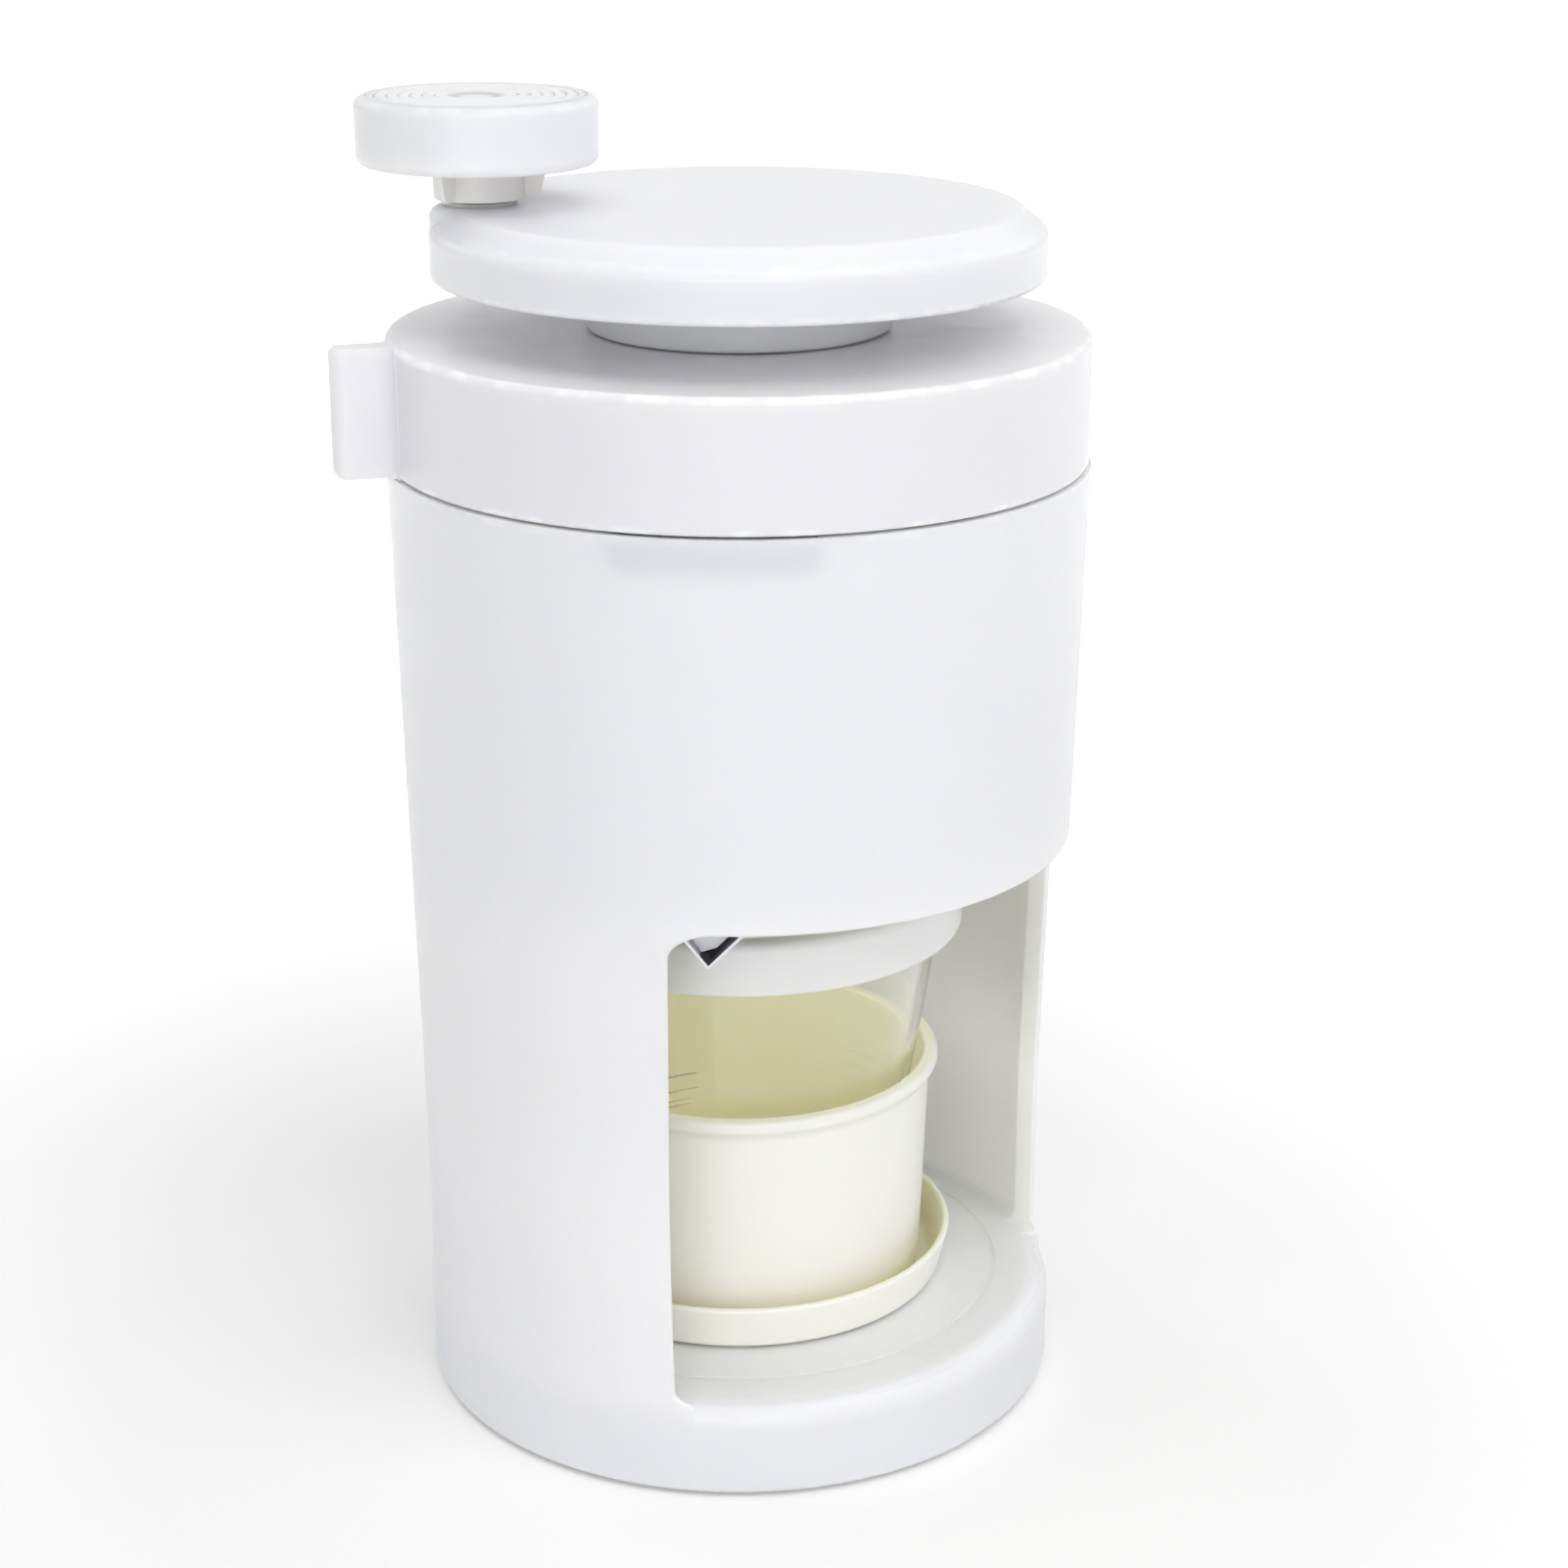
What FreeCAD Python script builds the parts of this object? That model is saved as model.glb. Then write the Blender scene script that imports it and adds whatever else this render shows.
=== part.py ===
import FreeCAD, Part
import math
import os

# Hand cranked ice shaver. Millimetres, Z up, origin on the surface it stands on, on the
# body's axis. The window faces -Y. A heading is an angle in degrees about Z from that
# front, positive towards +X; pieces off the axis are made at the front, then turned.

# ---- Driving dimensions ----
# Housing
foot_proud = 0.6            # the rubber feet stand this far below the housing
housing_height = 175.9      # from its lower edge to the seam under the lid
housing_foot_r = 59.4
housing_spread = 3.1        # how much wider the housing is at the seam
plumb_height = 25.0         # the wall rises straight this far, then leans out
bend_height = 40.0          # height over which the wall takes up its lean
housing_wall = 3.0
bay_floor_z = 18.0
floor_thick = 3.0
sill_round = 4.0            # rounding of the bay floor's front edge
sill_end_angle = 2.0        # the rounding stops this short of the window's sides, degrees
bay_cove_r = 2.5            # rounding where the bay's wall meets its floor
groove_inset = 7.5          # ring groove in the bay's floor, in from the bay's wall
groove_width = 1.1
groove_depth = 0.35
window_top_z = 108.0
window_foot_half = 48.7     # half the window's width at the bay's floor; its sides run along Y
window_top_half = 50.1      # half its width at the top
window_corner_r = 4.5
window_edge_r = 0.6
lower_edge_r = 1.3

# Base
base_thick = 2.0
base_inset = 0.6            # how far the base plate sits up inside the lower edge
foot_r = 6.0
foot_sunk = 1.0
foot_taper = 0.4
foot_taper_tall = 0.8
foot_inset = 13.4           # centres of the feet, in from the housing's outside
foot_count = 4              # on a ring, with one more in the middle
base_screw_inset = 15.4     # base screws, in from the housing's outside
base_screw_count = 3
base_screw_sunk = 0.9
screw_boss_r = 3.6

# Ice chamber and blade
chamber_drop = 1.4          # its underside is this far below the window's top
chamber_gap = 2.4           # between chamber and housing, at the chamber's floor
chamber_wall = 2.0
chamber_floor = 2.0
chamber_corner_r = 1.5
chamber_rim_drop = 10.5     # its rim is this far below the housing's top
chamber_flange_gap = 0.9
rib_count = 4
rib_deep = 1.2
rib_wide = 2.4
rib_stop = 4.0              # the ribs end this far under the chamber's rim
lug_headings = (100, 180, 260)
lug_thick = 4.0
lug_half_angle = 6.5
lug_margin = 1.2            # lug round the screw's head
lug_boss_height = 4.5
lug_boss_r = 4.0
lug_screw_inset = 4.1       # screw axis, inwards from the chamber's outside
blade_heading = -50.8
blade_depth = 7.2           # the fold of the blade hangs this far under the chamber
blade_sheet = 0.5
blade_lean = 44.0           # cutting leg, from upright
back_lean = 39.0            # folded back leg, from upright
blade_grind = 1.8           # length of the ground edge
blade_edge_height = 1.0     # cutting edge above the chamber's floor
blade_inner_r = 12.0
blade_end_gap = 1.1         # from the blade's outer end to the chamber's outside
blade_end_play = 0.5        # between the cutting leg and the slot's ends
slot_end_gap = 3.4          # from the slot's outer end to the chamber's inside
slot_throat = 2.4           # gap in front of the cutting leg
holder_setback = 1.8        # from the blade's ends to the holder's outer end
holder_gap = 0.95
holder_foot_gap = 2.1
holder_chin = 0.9           # rise of the holder's foot, from the back leg to the cutting leg
blade_screw_places = (22.0, 40.0)
blade_screw_long = 3.6
blade_screw_floor = 0.8     # chamber floor left under the blade screws' heads

# Lid
seam_gap = 0.4
lid_step = 0.5              # the lid's side stands this far inside the housing's top edge
lid_height = 22.5
lid_wall = 2.4
lid_top_thick = 3.0
lid_round = 1.3
spigot_gap = 0.6
spigot_thick = 2.4
spigot_depth = 8.3
tab_reach = 10.6
tab_thick = 5.4
tab_corner_r = 1.8
tab_root_r = 2.4
tab_heading = -119          # when the lid is locked
lid_lug_count = 3
lid_lug_turn = 60           # first locking lug, round from the tab
lid_lug_out = 1.6
lid_lug_tall = 2.5
lid_lug_drop = 2.5          # top of the lug below the housing's rim
lid_lug_half_angle = 5.0
lid_lug_play = 1.0          # degrees of pocket past each end of a lug's path
lid_lug_gap = 0.5
lid_twist_angle = 20.0
seal_width = 3.5
seal_inset = 0.6            # in from the spigot's outside
inner_plate_thick = 2.0
inner_plate_gap = 0.2
inner_plate_bore_gap = 1.5  # round the shaft's collar
lid_post_inset = 12.5       # posts for the plate's screws, in from the spigot's inside
lid_post_r = 4.0
lid_post_count = 3
lid_boss_wall = 3.0
bush_wall = 2.45
bush_flange_r = 11.0
bush_flange_thick = 0.8
washer_thick = 1.0

# Crank
knob_heading = -134         # where the crank stands at rest
disc_r = 53.8
disc_height = 12.0
disc_chamfer_in = 4.8
disc_chamfer_down = 3.9
disc_round = 2.0            # rounding of the chamfer's two edges
disc_wall = 2.5
neck_r = 26.8
neck_height = 9.6           # from the lid's top to the disc's underside
neck_wall = 3.0
crank_plate_thick = 2.4
crank_plate_inset = 0.5
crank_hub_r = 10.0
crank_screw_inset = 17.8    # in from the disc's edge
crank_screw_headings = (45, 165, 285)
shaft_r = 6.0
shaft_square = 10.0         # lower part, which drives the presser
shaft_land = 1.6            # the square's corners are turned down to this past its flats
shaft_lift = 3.6            # shaft's end above the points of the spikes
drive_square = 8.4          # upper end, which sits in the crank
drive_inset = 3.0           # round part of the shaft inside the crank's hub
collar_r = 9.0
collar_tall = 2.8
axle_screw_r = 2.0          # screws in the two ends of the shaft
axle_screw_long = 10.0
axle_screw_head_r = 4.0
axle_screw_head_tall = 2.0
axle_screw_flange_r = 6.5
axle_screw_flange = 0.8
hub_headroom = 2.0          # over the upper screw, under the disc's roof

# Presser
presser_gap = 3.4           # from the cutting edge to the spikes' points
spike_length = 7.9
spike_r = 1.5
spike_tip_r = 0.4
spike_taper = 3.5
spike_sunk = 2.3            # how deep the spikes sit in the plate
spike_counts = (4, 6, 8)    # on rings, from the inner one out
spike_inner_r = 20.0
spike_edge_inset = 6.8      # outer ring of spikes, in from the plate's edge
presser_thick = 3.1
presser_edge_gap = 2.4      # between the plate and the chamber's ribs
presser_hub_r = 11.0
presser_hub_tall = 12.0     # up from the plate's underside
presser_bore_gap = 0.15
stop_washer_r = 9.5
stop_washer_thick = 1.5
spring_r = 13.3
spring_wire = 1.3
spring_turns = 7
spring_seat_thick = 1.2
spring_seat_r = 16.0

# Knob
knob_boss_r = 8.8           # boss on the disc under the knob, tangent to the disc's edge
knob_boss_round = 2.4
knob_pillar_r = 6.8         # solid core of that boss
knob_r = 21.0
knob_height = 11.7
knob_round = 1.8
knob_wall = 2.6
knob_core_wall = 3.0        # round the stud
knob_ledge = 1.2            # width of the ledge that the cap rests on
knob_ledge_thick = 2.0
knob_screw_space = 3.6      # height under the cap for the screw
knob_screw_flange_r = 5.5
knob_screw_flange = 0.7
knob_screw_head_r = 3.2
knob_screw_head_tall = 1.7
knob_screw_long = 8.0
knob_cap_r = 18.9
knob_cap_thick = 2.2
knob_ring_count = 6
knob_ring_pitch = 2.05
knob_ring_half = 0.57
knob_ring_deep = 0.35
knob_dish_r = 6.2
knob_dish_deep = 0.5
hub_height = 5.9
hub_core_r = 7.9
hub_round = 0.3             # rounding of its lower edge
hub_fin_count = 3
hub_fin_heading = 45        # of one fin, as the knob stands at rest
hub_fin_r = 12.0
hub_fin_foot_r = 10.6
hub_fin_round = 0.9
hub_fin_thick = 1.0
hub_fin_lift = 0.2
spacer_r = 6.6
spacer_thick = 0.7
stud_r = 3.5
stud_thread_r = 2.5
stud_thread_long = 8.0

# Cup, collar, sleeve and saucer
cup_side_gap = 7.314        # between the collar and each side of the window's foot
cup_headroom = 0.8          # between the collar and the blade's fold
collar_wall = 2.4
collar_height = 9.7
collar_lip = 1.1
collar_lip_in = 1.9         # the lip covers this much of the cup's rim
collar_round = 1.6
cup_draft = 9.2             # degrees
cup_wall = 1.5
cup_floor = 3.0
cup_foot_r = 2.5            # rounding
cup_floor_r = 4.0           # rounding
sleeve_height = 43.4
sleeve_rim_gap = 1.36       # round the cup at the sleeve's rim
sleeve_lean = 0.036         # rise of radius per millimetre
sleeve_wall = 1.3
sleeve_foot_round = 1.5
sleeve_lip_out = 1.5
sleeve_lip_tall = 2.2
sleeve_lip_round = 2.0      # hollow under the lip
saucer_foot_out = 3.8       # past the sleeve's foot
saucer_out = 6.0            # rim of the saucer, past the sleeve's foot
saucer_height = 8.7
saucer_wall = 1.4
saucer_floor = 1.2
saucer_round = 1.6

# Fits, screws and edges
running_gap = 0.05          # a turning shaft in its bore, on the radius
body_gap = 0.3              # faces of pieces that move past each other
seat_gap = 0.1              # loose seat between pieces that don't move
thread_gap = 0.02
screw_r = 1.5
screw_head_r = 2.8
screw_head_tall = 1.8
screw_slot_wide = 0.7
screw_slot_deep = 0.4
screw_bite = 7.0
screw_tip_gap = 0.5         # free hole past a screw's end
edge_r = 0.5                # common small rounding
soft_edge_r = 0.8
past = 1.0                  # a cutter runs this far past what it cuts
bite = 0.5                  # shapes joined into one piece run this far into each other

# ---- Sizes that follow ----
housing_top_z = foot_proud + housing_height
lean_rate = housing_spread / (housing_height - plumb_height - bend_height / 2)


def wall_radius(z):
    """Outer radius of the housing at a height: plumb, then a gentle bend, then a lean."""
    above = z - foot_proud - plumb_height
    if above <= 0:
        return housing_foot_r
    if above <= bend_height:
        return housing_foot_r + lean_rate * above ** 2 / (2 * bend_height)
    return housing_foot_r + lean_rate * (above - bend_height / 2)


bay_r = housing_foot_r - housing_wall
window_half_angle = math.degrees(math.asin(window_foot_half / housing_foot_r))
groove_r = bay_r - groove_inset
base_z = foot_proud + base_inset
foot_ring_r = housing_foot_r - foot_inset
base_screw_ring_r = housing_foot_r - base_screw_inset
base_screw_z = base_z + base_screw_sunk

chamber_z = window_top_z - chamber_drop
chamber_floor_z = chamber_z + chamber_floor
chamber_rim_z = housing_top_z - chamber_rim_drop
chamber_r = wall_radius(chamber_z) - housing_wall - chamber_gap
chamber_in_r = chamber_r - chamber_wall
lug_z = chamber_z - lug_boss_height - lug_thick
lug_screw_r = chamber_r - lug_screw_inset
blade_fold_z = chamber_z - blade_depth
blade_edge_z = chamber_floor_z + blade_edge_height
slot_outer_r = chamber_in_r - slot_end_gap

lid_z = housing_top_z + seam_gap
lid_top_z = lid_z + lid_height
lid_roof_z = lid_top_z - lid_top_thick
lid_r = wall_radius(housing_top_z) - lid_step
spigot_z = lid_z - spigot_depth
spigot_r = wall_radius(housing_top_z) - housing_wall - spigot_gap
spigot_in_r = spigot_r - spigot_thick
lid_post_ring_r = spigot_in_r - lid_post_inset
post_z = lid_z + inner_plate_thick
collar_top_z = post_z + body_gap
collar_z = collar_top_z - collar_tall
bush_z = collar_top_z + body_gap + washer_thick
bush_bore_r = shaft_r + running_gap

disc_z = lid_top_z + neck_height
disc_top_z = disc_z + disc_height
disc_roof_z = disc_top_z - disc_wall
crank_plate_z = disc_z + crank_plate_inset
crank_plate_top_z = crank_plate_z + crank_plate_thick
crank_hub_z = lid_top_z + bush_flange_thick + body_gap
axle_screw_tall = axle_screw_flange + axle_screw_head_tall
crank_hub_top_z = disc_roof_z - axle_screw_tall - hub_headroom
crank_screw_ring_r = disc_r - crank_screw_inset
drive_z = crank_hub_z + drive_inset

spike_point_z = blade_edge_z + presser_gap
shaft_end_z = spike_point_z + shaft_lift
shaft_corner_r = shaft_square / 2 + shaft_land
presser_hub_z = shaft_end_z + body_gap
presser_z = spike_point_z + spike_length
presser_top_z = presser_z + presser_thick
presser_r = chamber_in_r - rib_deep - presser_edge_gap
spike_top_z = presser_z + spike_sunk
spring_seat_z = collar_z - spring_seat_thick

knob_offset = disc_r - knob_boss_r
hub_z = disc_top_z + spacer_thick + body_gap
knob_z = hub_z + hub_height
knob_top_z = knob_z + knob_height
knob_cap_z = knob_top_z - knob_cap_thick
knob_core_z = knob_cap_z - knob_screw_space
stud_top_z = knob_core_z + body_gap

cup_lean = math.tan(math.radians(cup_draft))
collar_out_r = window_foot_half - cup_side_gap
cup_rim_r = collar_out_r - collar_wall - seat_gap
cup_collar_top_z = blade_fold_z - cup_headroom
cup_rim_z = cup_collar_top_z - collar_lip
saucer_z = bay_floor_z + body_gap
sleeve_z = saucer_z + saucer_floor
sleeve_top_z = sleeve_z + sleeve_height
cup_z = sleeve_z + sleeve_wall


def cup_radius(z):
    return cup_rim_r - (cup_rim_z - z) * cup_lean


sleeve_foot_r = cup_radius(sleeve_top_z) + sleeve_rim_gap + sleeve_wall - sleeve_height * sleeve_lean

Vec = FreeCAD.Vector
origin = Vec(0, 0, 0)
upwards = Vec(0, 0, 1)


# ---- Shape helpers ----
def outline(points):
    """Closed face in the XZ plane. A third number on a point rounds that corner."""
    corners = [Vec(p[0], 0, p[1]) for p in points]
    edges = []
    joins = []
    for i, corner in enumerate(corners):
        radius = points[i][2] if len(points[i]) > 2 else 0
        if radius == 0:
            joins.append((corner, corner))
            continue
        back = (corners[i - 1] - corner).normalize()
        ahead = (corners[(i + 1) % len(corners)] - corner).normalize()
        half = back.getAngle(ahead) / 2
        reach = radius / math.tan(half)
        middle = corner + (back + ahead).normalize() * (radius / math.sin(half) - radius)
        start, end = corner + back * reach, corner + ahead * reach
        edges.append(Part.Arc(start, middle, end).toShape())
        joins.append((start, end))
    for i, join in enumerate(joins):
        following = joins[(i + 1) % len(joins)]
        if join[1].distanceToPoint(following[0]) > 1e-6:
            edges.append(Part.makeLine(join[1], following[0]))
    return Part.Face(Part.Wire(Part.__sortEdges__(edges)))


def lathe(points, angle=360, heading=0):
    """Revolve an (r, z) outline; a part turn is centred on the heading."""
    solid = outline(points).revolve(origin, upwards, angle)
    if angle < 360:
        solid.rotate(origin, upwards, heading - 90 - angle / 2)
    return solid


def prism(points, low_y, high_y):
    """Extrude an (x, z) outline along Y."""
    face = outline(points)
    face.translate(Vec(0, low_y, 0))
    return face.extrude(Vec(0, high_y - low_y, 0))


def drum(radius, low_z, high_z):
    return Part.makeCylinder(radius, high_z - low_z, Vec(0, 0, low_z))


def ring(outer_r, inner_r, low_z, high_z):
    return drum(outer_r, low_z, high_z).cut(drum(inner_r, low_z - past, high_z + past))


def square_bar(side, low_z, high_z):
    return Part.makeBox(side, side, high_z - low_z, Vec(-side / 2, -side / 2, low_z))


def placed(shape, radius, heading):
    """Copy of a shape made on the axis, moved out to a radius and turned to a heading."""
    moved = shape.copy()
    moved.translate(Vec(0, -radius, 0))
    moved.rotate(origin, upwards, heading)
    return moved


def spread(count, first=0):
    """Headings of equal steps round the axis."""
    return [first + i * 360 / count for i in range(count)]


def screw(head_z, long, heads_up=False):
    """Pan head screw on the axis: head face at head_z, shank going away from the head."""
    way = -1 if heads_up else 1
    if heads_up:
        head = drum(screw_head_r, head_z, head_z + screw_head_tall)
        shank = drum(screw_r, head_z - long, head_z)
    else:
        head = drum(screw_head_r, head_z - screw_head_tall, head_z)
        shank = drum(screw_r, head_z, head_z + long)
    top_z = head_z - way * screw_head_tall
    slot = Part.makeBox(2 * screw_head_r, screw_slot_wide, 2 * screw_slot_deep,
                        Vec(-screw_head_r, -screw_slot_wide / 2, top_z - screw_slot_deep))
    cross = slot.copy()
    cross.rotate(Vec(0, 0, top_z), upwards, 90)
    return head.fuse(shank).cut(slot).cut(cross).removeSplitter()


def flanged_screw(z, flange_r, flange, head_r, head_tall, shank_r, long):
    """Screw with a wide flange, standing on its seat at z and going down."""
    flange_z = z + flange
    head = lathe([(0, z), (flange_r, z), (flange_r, flange_z), (head_r, flange_z),
                  (head_r, flange_z + head_tall, edge_r), (0, flange_z + head_tall)])
    return head.fuse(drum(shank_r, z - long, z + bite)).removeSplitter()


def wall_face(inset, low_z, high_z):
    """Half section of the housing's outside, moved in by inset, from low_z to high_z."""
    bend_z = foot_proud + plumb_height
    lean_z = bend_z + bend_height

    def spot(z):
        return Vec(wall_radius(z) - inset, 0, z)

    edges = [
        Part.makeLine(Vec(0, 0, low_z), spot(low_z)),
        Part.makeLine(spot(low_z), spot(bend_z)),
        Part.Arc(spot(bend_z), spot((bend_z + lean_z) / 2), spot(lean_z)).toShape(),
        Part.makeLine(spot(lean_z), spot(high_z)),
        Part.makeLine(spot(high_z), Vec(0, 0, high_z)),
        Part.makeLine(Vec(0, 0, high_z), Vec(0, 0, low_z)),
    ]
    return Part.Face(Part.Wire(edges))


def wall_solid(inset, low_z, high_z):
    return wall_face(inset, low_z, high_z).revolve(origin, upwards, 360)


# ---- Housing and base ----
def bay_cutter():
    """The housing's inside above the bay's floor, with a rounded foot."""
    bore = wall_solid(housing_wall, bay_floor_z, housing_top_z + past)
    foot_edge = [e for e in bore.Edges if e.BoundBox.ZMax < bay_floor_z + 0.01 and e.Length > bay_r]
    return bore.makeFillet(bay_cove_r, foot_edge)


def window_cutter():
    """The window's outline, cut straight back along Y as far as the bay."""
    frame = [(-window_foot_half, bay_floor_z, bay_cove_r), (window_foot_half, bay_floor_z, bay_cove_r),
             (window_top_half, window_top_z, window_corner_r), (-window_top_half, window_top_z, window_corner_r)]
    return prism(frame, -wall_radius(window_top_z) - past, 0)


def sill_cutter():
    """Takes the sharp corner off the bay floor's front edge, inside the window."""
    sill_in = housing_foot_r - sill_round
    sill_low = bay_floor_z - sill_round
    back, out, up = sill_in - past, housing_foot_r + past, bay_floor_z + past
    corner = [(back, bay_floor_z), (sill_in, bay_floor_z), (housing_foot_r, sill_low),
              (out, sill_low), (out, up), (back, up)]
    cutter = lathe(corner, 2 * (window_half_angle - sill_end_angle))
    return cutter.cut(Part.makeTorus(sill_in, sill_round, Vec(0, 0, sill_low), upwards))


def window_rim(shape):
    """Edges where the window breaks through the housing's outside."""
    rim = []
    for edge in shape.Edges:
        middle = edge.valueAt((edge.FirstParameter + edge.LastParameter) / 2)
        heading = math.degrees(math.atan2(middle.x, -middle.y))
        outside = abs(math.hypot(middle.x, middle.y) - wall_radius(middle.z)) < 0.02
        in_window = abs(heading) < window_half_angle + 0.5
        if outside and in_window and bay_cove_r + bay_floor_z < middle.z < window_top_z + 0.1:
            rim.append(edge)
    return rim


def lug_pockets():
    """Room in the housing's rim for the lid's locking lugs, open at the top."""
    inner = spigot_r - past
    outer = spigot_r + lid_lug_out + lid_lug_gap
    low = housing_top_z - lid_lug_drop - lid_lug_tall - lid_lug_gap
    high = housing_top_z + past
    pocket = [(inner, low), (outer, low), (outer, high), (inner, high)]
    angle = lid_twist_angle + 2 * (lid_lug_half_angle + lid_lug_play)
    for heading in spread(lid_lug_count, tab_heading + lid_lug_turn + lid_twist_angle / 2):
        yield lathe(pocket, angle, heading)


def make_housing():
    body = wall_solid(0, foot_proud, housing_top_z)
    foot_edge = [e for e in body.Edges if e.BoundBox.ZMax < foot_proud + 0.01 and e.Length > foot_r]
    body = body.makeFillet(lower_edge_r, foot_edge)
    body = body.cut(bay_cutter())
    body = body.cut(drum(bay_r, foot_proud - past, bay_floor_z - floor_thick))
    body = body.cut(window_cutter())
    body = body.makeFillet(window_edge_r, window_rim(body))
    body = body.cut(sill_cutter())
    half_groove = groove_width / 2
    body = body.cut(ring(groove_r + half_groove, groove_r - half_groove, bay_floor_z - groove_depth,
                         bay_floor_z + past))
    for pocket in lug_pockets():
        body = body.cut(pocket)
    return add_chamber_lugs(add_base_bosses(body)).removeSplitter()


def add_base_bosses(body):
    boss_z = base_z + base_thick
    boss = drum(screw_boss_r, boss_z, bay_floor_z - floor_thick + bite)
    boss = boss.cut(drum(screw_r + thread_gap, boss_z - past, boss_z + screw_bite + screw_tip_gap))
    for heading in spread(base_screw_count, 60):
        body = body.fuse(placed(boss, base_screw_ring_r, heading))
    return body


def add_chamber_lugs(body):
    high = lug_z + lug_thick
    inner = lug_screw_r - screw_head_r - lug_margin
    outer = wall_radius(lug_z) - housing_wall + bite
    shelf = [(inner, lug_z, edge_r), (outer, lug_z), (outer, high), (inner, high, edge_r)]
    hole = drum(screw_r + seat_gap, lug_z - past, high + past)
    for heading in lug_headings:
        lug = lathe(shelf, 2 * lug_half_angle, heading)
        body = body.fuse(lug).cut(placed(hole, lug_screw_r, heading))
    return body


def at_feet(shape):
    return [shape] + [placed(shape, foot_ring_r, heading) for heading in spread(foot_count, 45)]


def make_base_plate():
    plate = drum(bay_r - 2 * seat_gap, base_z, base_z + base_thick)
    for pocket in at_feet(drum(foot_r + seat_gap, base_z - past, base_z + foot_sunk)):
        plate = plate.cut(pocket)
    hole = drum(screw_r + seat_gap, base_z - past, base_z + base_thick + past)
    head = drum(screw_head_r + seat_gap, base_z - past, base_screw_z)
    for heading in spread(base_screw_count, 60):
        plate = plate.cut(placed(hole.fuse(head), base_screw_ring_r, heading))
    return plate


def make_feet():
    top = base_z + foot_sunk
    foot = lathe([(0, 0), (foot_r - foot_taper, 0, foot_taper / 2), (foot_r, foot_taper_tall),
                  (foot_r, top), (0, top)])
    return at_feet(foot)


def make_base_screws():
    one = screw(base_screw_z, base_thick - base_screw_sunk + screw_bite)
    return [placed(one, base_screw_ring_r, heading) for heading in spread(base_screw_count, 60)]


# ---- Ice chamber and blade ----
def make_chamber():
    flange_r = wall_radius(chamber_rim_z) - housing_wall - chamber_flange_gap
    flange_z = chamber_rim_z - chamber_wall
    bowl = lathe([
        (0, chamber_z), (chamber_r, chamber_z, soft_edge_r), (chamber_r, flange_z, soft_edge_r),
        (flange_r, flange_z), (flange_r, chamber_rim_z, edge_r), (chamber_in_r, chamber_rim_z, edge_r),
        (chamber_in_r, chamber_floor_z, chamber_corner_r), (0, chamber_floor_z)])
    rib_z = chamber_floor_z - bite
    rib = Part.makeBox(rib_wide, rib_deep + bite, chamber_rim_z - rib_stop - rib_z,
                       Vec(-rib_wide / 2, -chamber_in_r - bite, rib_z))
    for heading in spread(rib_count, 45):
        bowl = bowl.fuse(placed(rib, 0, heading))
    boss = drum(lug_boss_r, chamber_z - lug_boss_height, chamber_z + bite)
    thread = drum(screw_r + thread_gap, chamber_z - lug_boss_height - past, chamber_z + screw_tip_gap)
    for heading in lug_headings:
        bowl = bowl.fuse(placed(boss, lug_screw_r, heading))
        bowl = bowl.cut(placed(thread, lug_screw_r, heading))
    bowl = bowl.cut(placed(slot_box(), 0, blade_heading))
    hole = drum(screw_r + seat_gap, chamber_z - past, chamber_floor_z + past)
    sunk = drum(screw_head_r + seat_gap, chamber_z + blade_screw_floor, chamber_floor_z + past)
    for place in blade_screw_places:
        bowl = bowl.cut(placed(hole.fuse(sunk), place, blade_heading))
    return bowl.removeSplitter()


def make_chamber_screws():
    one = screw(lug_z, lug_thick + lug_boss_height)
    return [placed(one, lug_screw_r, heading) for heading in lug_headings]


def leg_x(z, lean):
    """Distance of a blade leg's outer face from the fold's plane at a height."""
    return (z - blade_fold_z) * math.tan(math.radians(lean))


def slot_box():
    """Slot in the chamber's floor that the cutting leg comes up through."""
    near = leg_x(chamber_z, blade_lean) - blade_sheet / math.cos(math.radians(blade_lean)) - body_gap
    far = leg_x(chamber_floor_z, blade_lean) + slot_throat
    return Part.makeBox(far - near, slot_outer_r - blade_inner_r, chamber_floor + 2 * past,
                        Vec(near, -slot_outer_r, chamber_z - past))


def make_blade():
    """Strip folded to a V: one leg is ground and cuts, the other lies against the holder."""
    lean, back = math.radians(blade_lean), math.radians(back_lean)
    leg_long = (blade_edge_z - blade_fold_z) / math.cos(lean)
    back_long = (chamber_z - seat_gap - blade_fold_z) / math.cos(back) - blade_sheet
    fold = blade_sheet / math.sin((lean + back) / 2)
    tilt = (lean - back) / 2
    flat_long = leg_long - blade_grind
    edge = (leg_long * math.sin(lean), leg_long * math.cos(lean))
    ground = (flat_long * math.sin(lean) - blade_sheet * math.cos(lean),
              flat_long * math.cos(lean) + blade_sheet * math.sin(lean))
    back_out = (-back_long * math.sin(back), back_long * math.cos(back))
    back_in = (back_out[0] + blade_sheet * math.cos(back), back_out[1] + blade_sheet * math.sin(back))
    inside = (fold * math.sin(tilt), fold * math.cos(tilt))
    section = [(0, 0), edge, ground, inside, back_in, back_out]
    section = [(x, z + blade_fold_z) for x, z in section]
    section[0] = section[0] + (edge_r,)
    blade = prism(section, -(chamber_r - blade_end_gap), -blade_inner_r)
    reach = 2 * chamber_r
    outer_end = -slot_outer_r + blade_end_play
    inner_end = -blade_inner_r - blade_end_play
    for start_y in (outer_end - reach, inner_end):
        under_floor = Vec(-reach / 2, start_y, chamber_z - seat_gap)
        blade = blade.cut(Part.makeBox(reach, reach, blade_depth, under_floor))
    return placed(blade, 0, blade_heading)


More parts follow.
